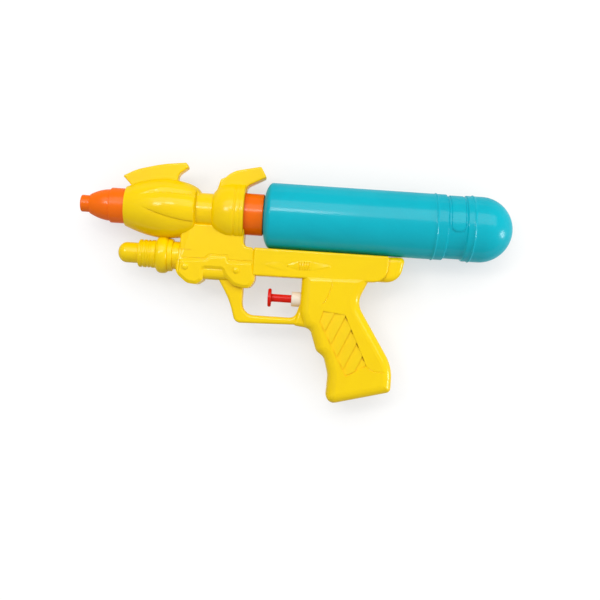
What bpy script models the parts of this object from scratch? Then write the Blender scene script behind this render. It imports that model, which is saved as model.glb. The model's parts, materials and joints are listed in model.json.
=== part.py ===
"""Toy water squirter: a two-half body, a screw-on water tank and a pump worked by a push trigger.

All sizes are in metres. While the model is made, x runs back from the nozzle's tip along the barrel,
z runs up from the barrel's axis, and the two body halves meet at y = 0, the left one at negative y.
A root empty then puts the middle of the hand grip at the world's origin.
"""

import math

import bmesh
import bpy
from mathutils import Vector

# Fits, walls and facets
CLEAR = 0.0003
WALL = 0.0020
EDGE = 0.0025
SIDES = 32
FEWER_SIDES = 24
SMALL_SIDES = 12
ARC_STEP = math.radians(20)
CUT_MARGIN = 0.0020

# Nozzle, from its tip back
NOZZLE_TIP_R = 0.0064
NOZZLE_TIP_LENGTH = 0.0069
NOZZLE_CONE_FRONT_R = 0.0074
NOZZLE_CONE_R = 0.0120
NOZZLE_CONE_LENGTH = 0.0159
NOZZLE_BASE_R = 0.0133
NOZZLE_BASE_LENGTH = 0.0115
NOZZLE_WALL = 0.0020
NOZZLE_FLANGE_STEP = 0.0020
NOZZLE_FLANGE_THICK = 0.0025
NOZZLE_SEAT_DEPTH = 0.0100
ORIFICE_R = 0.0010
ORIFICE_LENGTH = 0.0080

# Jet plug inside the nozzle
JET_R = 0.0040
JET_LENGTH = 0.0100
JET_STEM_R = 0.0025
JET_STEM_LENGTH = 0.0320

# Hoses and the barbs that they slide over
HOSE_R = 0.0024
HOSE_BORE_R = 0.0015
BARB_LENGTH = 0.0055
BARB_BORE_R = 0.0007
DIP_REACH_SHARE = 0.97
DIP_BEND_SHARE = 0.2

# Nose pod and its fin
POD_R = 0.0225
POD_LIP = 0.0014
POD_FRONT_LENGTH = 0.0295
POD_REAR_LENGTH = 0.0270
POD_TUCK = 0.0011
POD_RIB_THICK = 0.0020
POD_RIB_R = 0.0120
POD_FIN_HALF = 0.0050

# Neck between the pod and the collar cup
NECK_R = 0.0137
NECK_LENGTH = 0.0105

# Collar cup and its fin
CUP_R = 0.0210
CUP_LENGTH = 0.0235
CUP_FLARE_LENGTH = 0.0155
CUP_GROOVE = 0.0008
CUP_FIN_HALF = 0.0065

# Orange collar that the tank screws into
COLLAR_R = 0.0158
COLLAR_WALL = 0.0018
COLLAR_SHOWN = 0.0144
COLLAR_DEPTH = 0.0170
COLLAR_FRONT_WALL = 0.0030
COLLAR_FLANGE_STEP = 0.0024
COLLAR_FLANGE_THICK = 0.0028
COLLAR_FLANGE_PLACE = 0.0040
NIPPLE_DROP = 0.0055
VENT_R = 0.0006

# Thread between the collar and the tank
THREAD_PITCH = 0.0030
THREAD_HEIGHT = 0.0009
THREAD_ROOT_WIDTH = 0.0015
THREAD_CREST_WIDTH = 0.0007
THREAD_GAP = 0.0004
NECK_THREAD_TURNS = 2.0
COLLAR_THREAD_TURNS = 1.0
THREAD_PLACE = 0.0035

# Tank and its sealing ring
TANK_R = 0.0250
TANK_LENGTH = 0.1892
TANK_WALL = 0.0016
TANK_NECK_WALL = 0.0020
TANK_SHOULDER_LENGTH = 0.0057
TANK_BEAD = 0.0005
TANK_BEAD_WIDTH = 0.0016
TANK_BAND_DEPTH = 0.0013
TANK_BAND_LENGTH = 0.0142
TANK_BAND_PLACE = 0.0136
TANK_REAR_BEAD_PLACE = 0.0065
TANK_FRONT_BEAD_PLACE = 0.0340
TANK_PAD_HEIGHT = 0.0008
TANK_PAD_LENGTH = 0.0105
TANK_PAD_DROP = 0.0015
TANK_GAP = 0.0005
GASKET_THICK = 0.0015
GASKET_WIDTH = 0.0026

# Lower body: half thicknesses and depths
SADDLE_TOP_HALF = 0.0082
DECK_HALF = 0.0115
BLOCK_HALF = 0.0121
BLOCK_TOP_DROP = 0.0105
RAIL_DEPTH = 0.0210
RAIL_HALF = 0.0120
TAIL_HALF = 0.0085
GRIP_HALF = 0.0125
GRIP_EDGE = 0.0045
GRIP_DROP = 0.11483
GRIP_BUTT_RISE = 0.0127
GRIP_SCREW_RISE = 0.0188
GUARD_HALF = 0.0070
PIN_R = 0.0026
PIN_HEIGHT = 0.0012
PASSAGE_HALF = 0.0069
BAR_HALF = 0.0105
BAR_EDGE = 0.0050

# Dummy lower barrel
TORCH_DROP = 0.0095
TORCH_TIP_R = 0.0074
TORCH_TIP_LENGTH = 0.0160
TORCH_BODY_R = 0.0106
TORCH_BODY_LENGTH = 0.0133
TORCH_RING_R = 0.0142
TORCH_RING_LENGTH = 0.0090
TORCH_ROOT_LENGTH = 0.0060
TORCH_SINK = 0.0063
TORCH_SOFT = 0.0014
TORCH_NOSE = 0.0055
TORCH_RING_SOFT = 0.0028

# Pump, trigger and valve tower
PUMP_DROP = 0.0158
PUMP_R = 0.0056
PUMP_BORE_R = 0.0042
PUMP_NOSE = 0.0071
PUMP_MOUTH_STEP = 0.0004
BUSH_LENGTH = 0.0055
TRIGGER_HEAD_R = 0.0070
TRIGGER_HEAD_THICK = 0.0027
TRIGGER_ROD_R = 0.0030
TRIGGER_REACH = 0.0153
TRIGGER_TRAVEL = 0.0130
TRIGGER_SPIGOT_R = 0.0016
PISTON_LENGTH = 0.0055
PISTON_GAP = 0.0002
SEAL_WIRE_R = 0.00055
SPRING_CLOSED_LENGTH = 0.0072
SPRING_R = 0.0033
SPRING_WIRE_R = 0.00035
SPRING_COILS = 7
TOWER_R = 0.0048
TOWER_BORE_R = 0.0030
TOWER_BELOW = 0.0137
TOWER_ABOVE = 0.0143
PORT_R = 0.0015
SEAT_R = 0.0014
SEAT_LEDGE_THICK = 0.0025
SEAT_LEDGE_RISE = 0.0040
BALL_R = 0.0023
BALL_REST_GAP = 0.00015
PLUG_FLANGE_R = 0.0040
PLUG_FLANGE_THICK = 0.0015
INLET_PLUG_LENGTH = 0.0070
OUTLET_PLUG_LENGTH = 0.0020
CRADLE_THICK = 0.0025
CRADLE_PLACE = 0.0168
CRADLE_REACH = 0.0125

# Screws that hold the halves together
SCREW_R = 0.0014
SCREW_HEAD_R = 0.0028
SCREW_HEAD_HEIGHT = 0.0018
SCREW_HEAD_RECESS = 0.0020
SCREW_LENGTH = 0.0160
BOSS_WALL = 0.0018

MM = 0.001

# Outlines in millimetres, as corners (x, z, rounding). The fins are given from the front of the pod or
# the cup and from its crest, the rest from below the pod's rear end on the line of the rail's top.
POD_FIN_CORNERS = (
    (4.5, -8.1, 1), (1.3, -4.5, 2), (-3.4, 0.0, 0.9), (6.5, 5.6, 40), (26.0, 10.9, 100),
    (44.0, 13.1, 1.3), (46.1, 9.6, 1.1), (38.8, 3.7, 6), (37.9, -8.1, 1),
)
CUP_FIN_CORNERS = (
    (2.2, -12, 1), (0.2, -7.0, 0.8), (9.2, 9.6, 22), (33.9, 15.1, 1.6),
    (38.6, 7.2, 1.5), (24.4, -0.5, 5), (23.0, -12, 1),
)
GRIP_CORNERS = (
    (80.7, -15.5, 1), (80.7, -55.9, 5), (89.5, -58.1, 8), (94.9, -74.7, 6), (101.0, -78.7, 9),
    (105.0, -92.0, 20), (104.3, -GRIP_DROP / MM, 6), (153.03, (GRIP_BUTT_RISE - GRIP_DROP) / MM, 4),
    (153.0, -82.7, 50), (123.3, -36.5, 14), (133.4, -14.5, 1),
)
GUARD_CORNERS = (
    (15.6, -17.5, 1), (18.2, -26.5, 10), (26.9, -40.7, 60), (32.0, -57.5, 5.5), (88.0, -55.7, 1),
    (88.0, -40.5, 1), (80.2, -41.0, 1), (77.0, -51.1, 6), (36.7, -51.1, 9), (36.7, -17.5, 1),
)
TAIL_CORNERS = ((110.0, -2.5, 1), (110.0, -19.5, 1), (154.2, -19.3, 18), (157.9, 0.0, 4.5), (150, 0.0, 1))
RAIL_REAR = (145.3, 0.0, 2)
RAIL_REAR_LOW = (144.0, -20.0, 15)
BLOCK_CORNERS = (
    (-14.8, -11.5, 2), (-14.8, -22.8, 9), (-5.5, -30.1, 8), (1.5, -30.5, 5), (6.3, -27.0, 3),
    (6.3, -18.4, 1.5), (20.2, -18.4, 1.5), (22.0, -22.5, 6), (29.5, -29.6, 8), (36.0, -31.0, 8),
    (42.0, -30.6, 5), (45.2, -24.8, 5), (45.2, -19.8, 1), (43.8, -16.0, 2), (43.6, -10.9, 1),
    (25.0, -11.2, 1), (23.6, -7.7, 1), (10.2, -7.8, 2), (7.0, -11.0, 2),
)
SADDLE_FRONT_X = -12.9
DECK_FRONT_X = -14.2
BLOCK_REAR_X = 43.5
BLOCK_STEP_X = 35.0
SADDLE_LOW = -12.0
DECK_FRONT_TOP = -4.7
DECK_TOP = -8.0
DECK_STEP_X = -9.0
BAR_CORNERS = ((0.0, -14.0, 1), (0.0, -26.1, 1), (27.0, -26.1, 1), (27.0, -14.0, 1))
PASSAGE_CORNERS = ((-4.0, 8.0, 2), (12.0, 8.0, 2), (12.0, 22.0, 2), (-4.0, 22.0, 2))
PIN_SHARE = 0.7
PIN_PLACES = ((-7.5, -17.5), (31.0, -17.9))
TORCH_FRONT_X = -60.3
SCREW_PLACES = (
    (-3.5, -23.8), (58.0, -6.0), (135.0, -7.5), (92.0, -53.0),
    (130.0, (GRIP_SCREW_RISE - GRIP_DROP) / MM),
)
POD_SCREW_PLACE = (3.0, -13.0)
GRIP_CENTRE = (112.5, -60.0)

# Worked out along the barrel
NOZZLE_STEP_X = NOZZLE_TIP_LENGTH + NOZZLE_CONE_LENGTH
POD_FRONT_X = NOZZLE_STEP_X + NOZZLE_BASE_LENGTH
POD_PEAK_X = POD_FRONT_X + POD_FRONT_LENGTH
POD_REAR_X = POD_PEAK_X + POD_REAR_LENGTH
POD_FRONT_R = NOZZLE_BASE_R + CLEAR + POD_LIP
CUP_FRONT_X = POD_REAR_X + NECK_LENGTH
CUP_REAR_X = CUP_FRONT_X + CUP_LENGTH
COLLAR_FRONT_X = CUP_REAR_X - COLLAR_DEPTH
COLLAR_REAR_X = CUP_REAR_X + COLLAR_SHOWN
COLLAR_FLOOR_X = COLLAR_FRONT_X + COLLAR_FRONT_WALL
COLLAR_BORE_R = COLLAR_R - COLLAR_WALL
COLLAR_FLANGE_X = COLLAR_FRONT_X + COLLAR_FLANGE_PLACE
COLLAR_FLANGE_R = COLLAR_R + COLLAR_FLANGE_STEP
NOZZLE_FLANGE_X = POD_FRONT_X + NOZZLE_SEAT_DEPTH + CLEAR
NOZZLE_FLANGE_R = NOZZLE_BASE_R + NOZZLE_FLANGE_STEP
JET_FRONT_X = ORIFICE_LENGTH + CLEAR
JET_REAR_X = JET_FRONT_X + JET_LENGTH + JET_STEM_LENGTH
BARB_R = HOSE_BORE_R - CLEAR
GASKET_X = COLLAR_FLOOR_X + CLEAR
LIP_X = GASKET_X + GASKET_THICK + CLEAR
TANK_FRONT_X = COLLAR_REAR_X + CLEAR
TANK_REAR_X = TANK_FRONT_X + TANK_LENGTH
DOME_X = TANK_REAR_X - TANK_R
NECK_ROOT_R = COLLAR_BORE_R - THREAD_GAP - THREAD_HEIGHT
NECK_BORE_R = NECK_ROOT_R - TANK_NECK_WALL
BAND_X = DOME_X - TANK_BAND_PLACE - TANK_BAND_LENGTH
BAND_R = TANK_R - TANK_BAND_DEPTH

# Worked out below the barrel
RAIL_TOP_Z = -(TANK_R + TANK_GAP)
RAIL_LOW_Z = RAIL_TOP_Z - RAIL_DEPTH
PUMP_Z = RAIL_LOW_Z - PUMP_DROP
GRIP_FRONT_X = POD_REAR_X + GRIP_CORNERS[0][0] * MM
PUMP_FRONT_X = GRIP_FRONT_X - PUMP_NOSE
BUSH_X = PUMP_FRONT_X + PUMP_MOUTH_STEP
PISTON_X = BUSH_X + BUSH_LENGTH + CLEAR
PISTON_REAR_X = PISTON_X + PISTON_LENGTH
CHAMBER_END_X = PISTON_REAR_X + TRIGGER_TRAVEL + SPRING_CLOSED_LENGTH
TOWER_X = CHAMBER_END_X + TOWER_R
TOWER_LOW_Z = PUMP_Z - TOWER_BELOW
TOWER_TOP_Z = PUMP_Z + TOWER_ABOVE
LEDGE_Z = PUMP_Z + SEAT_LEDGE_RISE
LEDGE_TOP_Z = LEDGE_Z + SEAT_LEDGE_THICK
INLET_PLUG_TOP_Z = TOWER_LOW_Z + INLET_PLUG_LENGTH
BALL_SEAT_RISE = math.sqrt(BALL_R**2 - SEAT_R**2) + BALL_REST_GAP
TORCH_Z = RAIL_TOP_Z - TORCH_DROP
SCREW_SEAT_Y = RAIL_HALF - SCREW_HEAD_RECESS - SCREW_HEAD_HEIGHT
BOSS_R = SCREW_HEAD_R + CLEAR + BOSS_WALL

TURN = {"X": (0, math.pi / 2, 0), "Y": (-math.pi / 2, 0, 0), "Z": (0, 0, 0)}


def clear_scene():
    """Remove every object and collection of the scene."""
    for obj in list(bpy.data.objects):
        bpy.data.objects.remove(obj)
    for collection in list(bpy.data.collections):
        bpy.data.collections.remove(collection)


def new_collection(name, parent=None):
    collection = bpy.data.collections.new(name)
    (parent or bpy.context.scene.collection).children.link(collection)
    return collection


clear_scene()
PARTS = new_collection("water_squirter")
CUTTERS = new_collection("squirter_cutters")
FORMS = new_collection("body_forms", CUTTERS)
HOLLOWS = new_collection("body_hollows", CUTTERS)
RIBS = new_collection("body_ribs", CUTTERS)
HOLES = new_collection("body_holes", CUTTERS)
ROOT = bpy.data.objects.new("squirter_root", None)
PARTS.objects.link(ROOT)
ROOT.location = (-POD_REAR_X - GRIP_CENTRE[0] * MM, 0, -RAIL_TOP_Z - GRIP_CENTRE[1] * MM)


def plastic(name, colour, roughness=0.35, metallic=0.0):
    """A Principled material of one colour."""
    material = bpy.data.materials.new(name)
    material.use_nodes = True
    shader = material.node_tree.nodes["Principled BSDF"]
    shader.inputs["Base Color"].default_value = (*colour, 1)
    shader.inputs["Roughness"].default_value = roughness
    shader.inputs["Metallic"].default_value = metallic
    material.diffuse_color = (*colour, 1)
    return material


YELLOW = plastic("yellow_body", (0.98, 0.66, 0.01))
ORANGE = plastic("orange_caps", (1.0, 0.17, 0.01))
TEAL = plastic("teal_tank", (0.004, 0.46, 0.58))
RED = plastic("red_trigger", (0.60, 0.01, 0.01))
WHITE = plastic("white_pump", (0.85, 0.76, 0.62))
RUBBER = plastic("black_rubber", (0.02, 0.02, 0.02), 0.7)
HOSE = plastic("clear_hose", (0.75, 0.78, 0.76), 0.3)
STEEL = plastic("steel", (0.60, 0.60, 0.62), 0.25, 1.0)


def add_object(name, data, collection, material=None):
    """Link an object under the root. One without a material is a cutter or a guide."""
    obj = bpy.data.objects.new(name, data)
    collection.objects.link(obj)
    obj.parent = ROOT
    if material is None:
        obj.hide_render = True
        obj.display_type = "WIRE"
    else:
        data.materials.append(material)
    return obj


def signed_area(points):
    pairs = zip(points, points[1:] + points[:1])
    return sum(a[0] * b[1] - b[0] * a[1] for a, b in pairs) / 2


def turned(name, profile, place, direction="X", sides=SIDES, collection=PARTS, material=None):
    """A solid turned about the given direction through place. The profile is a list of (along, radius):
    a closed loop, or a chain whose two ends lie on the axis."""
    points = [(radius, along) for along, radius in profile]
    if signed_area(points) > 0:
        points.reverse()
    on_axis = points[0][0] == 0 and points[-1][0] == 0
    mesh = bpy.data.meshes.new(name)
    model = bmesh.new()
    verts = [model.verts.new((radius, 0, along)) for radius, along in points]
    for first, second in zip(verts, verts[1:] if on_axis else verts[1:] + verts[:1]):
        model.edges.new((first, second))
    model.to_mesh(mesh)
    model.free()
    obj = add_object(name, mesh, collection, material)
    obj.location = place
    obj.rotation_euler = TURN[direction]
    screw = obj.modifiers.new("Turn", "SCREW")
    screw.axis = "Z"
    screw.steps = screw.render_steps = sides
    screw.use_merge_vertices = True
    screw.merge_threshold = 1e-6
    screw.use_smooth_shade = True
    return obj


def box(name, size, place, collection, material=None):
    """A block of the given size about a point of its own space."""
    mesh = bpy.data.meshes.new(name)
    model = bmesh.new()
    bmesh.ops.create_cube(model, size=1)
    bmesh.ops.scale(model, verts=model.verts, vec=size)
    bmesh.ops.translate(model, verts=model.verts, vec=place)
    model.to_mesh(mesh)
    model.free()
    return add_object(name, mesh, collection, material)


def rod(name, start, end, radius, place, direction="X", sides=SMALL_SIDES, collection=HOLES, material=None):
    """A plain cylinder, from start to end along the direction."""
    profile = [(start, 0), (start, radius), (end, radius), (end, 0)]
    return turned(name, profile, place, direction, sides, collection, material)


def combine(obj, operation, operand):
    """Join, cut or intersect an object with another, or with all of a collection."""
    boolean = obj.modifiers.new(operation.title(), "BOOLEAN")
    boolean.operation = operation
    boolean.solver = "MANIFOLD"
    if isinstance(operand, bpy.types.Collection):
        boolean.operand_type = "COLLECTION"
        boolean.collection = operand
    else:
        boolean.object = operand
    return obj


def corner_directions(corners):
    """Each corner with the unit directions of the sides that reach it and leave it."""
    places = [Vector(corner[:2]) for corner in corners]
    for i, (_, _, radius) in enumerate(corners):
        reach = (places[i] - places[i - 1]).normalized()
        leave = (places[(i + 1) % len(places)] - places[i]).normalized()
        yield places[i], reach, leave, radius


def inset_corners(corners, amount):
    """The outline moved inwards: outer corners get tighter, inner ones wider."""
    moved = []
    for place, reach, leave, radius in corner_directions(corners):
        inward = Vector((-reach.y, reach.x)) + Vector((-leave.y, leave.x))
        shift = inward * (amount / (1 + reach.dot(leave)))
        convex = reach.x * leave.y - reach.y * leave.x > 0
        moved.append((*(place + shift), max(radius - amount, 0) if convex else radius + amount))
    return moved


def rounded(corners):
    """The points of an outline, with an arc at each corner."""
    sides = [(Vector(a[:2]) - Vector(b[:2])).length for a, b in zip(corners, corners[1:] + corners[:1])]
    points = []
    for i, (place, reach, leave, radius) in enumerate(corner_directions(corners)):
        turn = reach.angle_signed(leave) * -1
        half = math.tan(abs(turn) / 2)
        length = min(radius * half, 0.49 * sides[i - 1], 0.49 * sides[i])
        if length < 1e-6:
            points.append(tuple(place))
            continue
        inward = Vector((-reach.y, reach.x)) * math.copysign(length / half, turn)
        start = place - reach * length
        centre = start + inward
        steps = max(2, math.ceil(abs(turn) / ARC_STEP))
        for k in range(steps + 1):
            angle = turn * k / steps
            arm = start - centre
            x = centre.x + arm.x * math.cos(angle) - arm.y * math.sin(angle)
            y = centre.y + arm.x * math.sin(angle) + arm.y * math.cos(angle)
            points.append((x, y))
    return points


def as_mesh_object(curve_obj, collection, material):
    """Turn a curve object into a welded mesh object with the same name and place."""
    bpy.context.view_layer.update()
    graph = bpy.context.evaluated_depsgraph_get()
    mesh = bpy.data.meshes.new_from_object(curve_obj.evaluated_get(graph))
    mesh.materials.clear()
    model = bmesh.new()
    model.from_mesh(mesh)
    bmesh.ops.remove_doubles(model, verts=model.verts, dist=1e-7)
    bmesh.ops.recalc_face_normals(model, faces=model.faces)
    model.to_mesh(mesh)
    model.free()
    name, rotation, place = curve_obj.name, curve_obj.rotation_euler.copy(), curve_obj.location.copy()
    bpy.data.objects.remove(curve_obj)
    obj = add_object(name, mesh, collection, material)
    obj.rotation_euler = rotation
    obj.location = place
    return obj


def plate(name, corners_mm, origin, half, edge=EDGE, inset=0.0, collection=FORMS):
    """A flat outline in the plane y = 0, thickened to both sides, with rounded edges."""
    corners = [(x * MM, z * MM, radius * MM) for x, z, radius in corners_mm]
    if signed_area([corner[:2] for corner in corners]) < 0:
        corners.reverse()
    points = rounded(inset_corners(corners, inset + edge))
    curve = bpy.data.curves.new(name, "CURVE")
    curve.dimensions = "2D"
    curve.fill_mode = "BOTH"
    curve.extrude = half - edge
    curve.bevel_depth = edge
    curve.bevel_resolution = 1
    spline = curve.splines.new("POLY")
    spline.points.add(len(points) - 1)
    spline.use_cyclic_u = True
    for point, (x, z) in zip(spline.points, points):
        point.co = (x, z, 0, 1)
    obj = add_object(name, curve, collection)
    obj.rotation_euler = (math.pi / 2, 0, 0)
    obj.location = (origin[0], 0, origin[1])
    return as_mesh_object(obj, collection, None)


def hollow(name, corners_mm, origin, half):
    """The space inside a plate of the body."""
    return plate(name, corners_mm, origin, half - WALL, 0.0, WALL, HOLLOWS)


def taper(obj, low, high, share):
    """Thin a plate evenly from its full thickness at low to a share of it at high."""
    for vert in obj.data.vertices:
        rise = (vert.co.y / MM - low) / (high - low)
        vert.co.z *= 1 + (share - 1) * rise
    return obj


def smooth_route(points, step):
    """Points every step or so along a smooth curve through the given ones."""
    ends = [points[0] * 2 - points[1]] + points + [points[-1] * 2 - points[-2]]
    route = []
    for before, first, second, after in zip(ends, ends[1:], ends[2:], ends[3:]):
        count = max(1, round((second - first).length / step))
        for k in range(count):
            t = k / count
            rise = (second - before) * t
            bend = (before * 2 - first * 5 + second * 4 - after) * t**2
            twist = (first * 3 - before - second * 3 + after) * t**3
            route.append(first + (rise + bend + twist) / 2)
    return route + [points[-1]]


def wire(name, points, radius, resolution, collection, material=None):
    """A round bar along the points, as a welded mesh."""
    curve = bpy.data.curves.new(name, "CURVE")
    curve.dimensions = "3D"
    curve.bevel_depth = radius
    curve.bevel_resolution = resolution
    curve.use_fill_caps = True
    spline = curve.splines.new("POLY")
    spline.points.add(len(points) - 1)
    for point, place in zip(spline.points, points):
        point.co = (*place, 1)
    return as_mesh_object(add_object(name, curve, collection), collection, material)


def hose(name, points):
    """A hose through the points, open at both ends."""
    route = smooth_route([Vector(point) for point in points], 4 * HOSE_R)
    ahead = (route[0] - route[1]).normalized() * CUT_MARGIN
    behind = (route[-1] - route[-2]).normalized() * CUT_MARGIN
    tube = wire(name, route, HOSE_R, 2, PARTS, HOSE)
    bore = wire(name + "_bore", [route[0] + ahead] + route + [route[-1] + behind], HOSE_BORE_R, 1, CUTTERS)
    return combine(tube, "DIFFERENCE", bore)


def thread(name, root_r, height, start_x, turns):
    """A helical ridge about the barrel's axis, right-handed; a negative height points inwards."""
    sink = math.copysign(CLEAR, height)
    half_root = THREAD_ROOT_WIDTH / 2
    half_crest = THREAD_CREST_WIDTH / 2
    section = [(root_r - sink, -half_root), (root_r + height, -half_crest)]
    section += [(root_r + height, half_crest), (root_r - sink, half_root)]
    model = bmesh.new()
    face = model.faces.new([model.verts.new((radius, 0, along)) for radius, along in section])
    steps = round(FEWER_SIDES * turns)
    bmesh.ops.spin(
        model, geom=[face], axis=(0, 0, 1), angle=2 * math.pi * turns,
        dvec=(0, 0, THREAD_PITCH * turns / steps), steps=steps, use_duplicate=False,
    )
    bmesh.ops.holes_fill(model, edges=[edge for edge in model.edges if edge.is_boundary])
    bmesh.ops.recalc_face_normals(model, faces=model.faces)
    mesh = bpy.data.meshes.new(name)
    model.to_mesh(mesh)
    model.free()
    obj = add_object(name, mesh, CUTTERS)
    obj.rotation_euler = TURN["X"]
    obj.location = (start_x, 0, 0)
    return obj


def lower(x_mm, z_mm):
    """A point of the lower body, from its place below the pod's rear end."""
    return POD_REAR_X + x_mm * MM, RAIL_TOP_Z + z_mm * MM


def pod_radius(x):
    """The pod swells in a soft power curve to its peak and closes in a quarter ellipse."""
    if x < POD_PEAK_X:
        share = (POD_PEAK_X - x) / POD_FRONT_LENGTH
        return POD_R - (POD_R - POD_FRONT_R) * share**1.7
    share = min((x - POD_PEAK_X) / (POD_REAR_LENGTH + CLEAR), 1)
    return POD_R - (POD_R - NECK_R + POD_TUCK) * (1 - math.sqrt(1 - share**2))


def cup_radius(x):
    """The collar cup flares from the neck along a quarter sine wave."""
    share = min((x - CUP_FRONT_X) / CUP_FLARE_LENGTH, 1)
    return NECK_R + CLEAR + (CUP_R - NECK_R - CLEAR) * math.sin(math.pi / 2 * share)


def spread(start, end, count):
    return [start + (end - start) * k / count for k in range(count + 1)]


def make_pod_and_neck():
    stations = spread(POD_FRONT_X, POD_PEAK_X, 4)[:-1] + spread(POD_PEAK_X, POD_REAR_X, 5)
    outer = [(x, pod_radius(x)) for x in stations]
    turned("pod_form", [(POD_FRONT_X, 0)] + outer + [(POD_REAR_X, 0)], (0, 0, 0), collection=FORMS)
    seat_x = POD_FRONT_X + NOZZLE_SEAT_DEPTH
    inner = [(x, pod_radius(x) - WALL) for x in [seat_x] + stations if seat_x <= x < POD_REAR_X - 2 * WALL]
    inner.sort()
    end_x = inner[-1][0]
    turned("pod_hollow", [(seat_x, 0)] + inner + [(end_x, 0)], (0, 0, 0), collection=HOLLOWS)
    rod("nozzle_bore", POD_FRONT_X - CUT_MARGIN, seat_x + CUT_MARGIN, NOZZLE_BASE_R + CLEAR, (0, 0, 0),
        sides=SIDES, collection=HOLLOWS)
    rod("neck_form", POD_REAR_X - 3 * WALL, CUP_FRONT_X + 2 * WALL, NECK_R, (0, 0, 0), sides=SIDES,
        collection=FORMS)
    rod("neck_hollow", end_x - CUT_MARGIN, COLLAR_FRONT_X, NECK_R - WALL, (0, 0, 0), sides=SIDES,
        collection=HOLLOWS)
    plate("pod_fin", POD_FIN_CORNERS, (POD_FRONT_X, POD_R), POD_FIN_HALF, EDGE / 2)
    rib_x = NOZZLE_FLANGE_X + NOZZLE_FLANGE_THICK + CLEAR
    rib_end_x = rib_x + POD_RIB_THICK
    rib = [(rib_x, POD_RIB_R), (rib_end_x, POD_RIB_R), (rib_end_x, POD_R), (rib_x, POD_R)]
    turned("nozzle_rib", rib, (0, 0, 0), collection=RIBS)


def make_cup():
    flare_x = CUP_FRONT_X + CUP_FLARE_LENGTH
    rim_x = flare_x + 2 * CUP_GROOVE
    outer = [(x, cup_radius(x)) for x in spread(CUP_FRONT_X, flare_x, 4)]
    outer += [(flare_x + CUP_GROOVE, CUP_R - CUP_GROOVE), (rim_x, CUP_R)]
    outer += [(CUP_REAR_X - CUP_GROOVE, CUP_R), (CUP_REAR_X, CUP_R - CUP_GROOVE)]
    turned("cup_form", [(CUP_FRONT_X, 0)] + outer + [(CUP_REAR_X, 0)], (0, 0, 0), collection=FORMS)
    bore_r = COLLAR_R + CLEAR
    groove_r = COLLAR_FLANGE_R + CLEAR
    groove_x = COLLAR_FLANGE_X - CLEAR
    groove_end_x = COLLAR_FLANGE_X + COLLAR_FLANGE_THICK + CLEAR
    end_x = COLLAR_REAR_X + CUT_MARGIN
    bore = [(COLLAR_FRONT_X - CLEAR, 0), (COLLAR_FRONT_X - CLEAR, bore_r), (groove_x, bore_r)]
    bore += [(groove_x, groove_r), (groove_end_x, groove_r), (groove_end_x, bore_r)]
    bore += [(end_x, bore_r), (end_x, 0)]
    turned("cup_bore", bore, (0, 0, 0), collection=HOLES)
    plate("cup_fin", CUP_FIN_CORNERS, (CUP_FRONT_X, CUP_R), CUP_FIN_HALF, EDGE / 2)


def make_torch():
    front_x = lower(TORCH_FRONT_X, 0)[0]
    body_x = front_x + TORCH_TIP_LENGTH
    ring_x = body_x + TORCH_BODY_LENGTH
    root_x = ring_x + TORCH_RING_LENGTH
    end_x = root_x + TORCH_ROOT_LENGTH + TORCH_SINK
    soft = TORCH_SOFT
    nose = [(1 - math.sin(a), 1 - math.cos(a)) for a in spread(math.pi / 2, 0, 3)]
    outer = [(front_x, 0)]
    outer += [(front_x + TORCH_NOSE * back, TORCH_TIP_R - TORCH_NOSE * drop) for back, drop in nose]
    outer += [(body_x, TORCH_TIP_R), (body_x, TORCH_BODY_R - soft)]
    outer += [(body_x + soft, TORCH_BODY_R), (ring_x, TORCH_BODY_R), (ring_x + soft, TORCH_RING_R - soft)]
    outer += [(ring_x + TORCH_RING_SOFT, TORCH_RING_R), (root_x - TORCH_RING_SOFT, TORCH_RING_R)]
    outer += [(root_x, TORCH_RING_R - TORCH_RING_SOFT), (root_x, TORCH_BODY_R)]
    outer += [(end_x, TORCH_BODY_R), (end_x, 0)]
    place = (0, 0, TORCH_Z)
    turned("torch_form", outer, place, collection=FORMS, sides=FEWER_SIDES)
    tip_r = TORCH_TIP_R - WALL
    body_r = TORCH_BODY_R - WALL
    inner = [(front_x + 2 * WALL, 0), (front_x + 2 * WALL, tip_r), (body_x + WALL, tip_r)]
    inner += [(body_x + WALL, body_r), (root_x + WALL, body_r), (root_x + WALL, 0)]
    turned("torch_hollow", inner, place, sides=SMALL_SIDES, collection=HOLLOWS)


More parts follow.
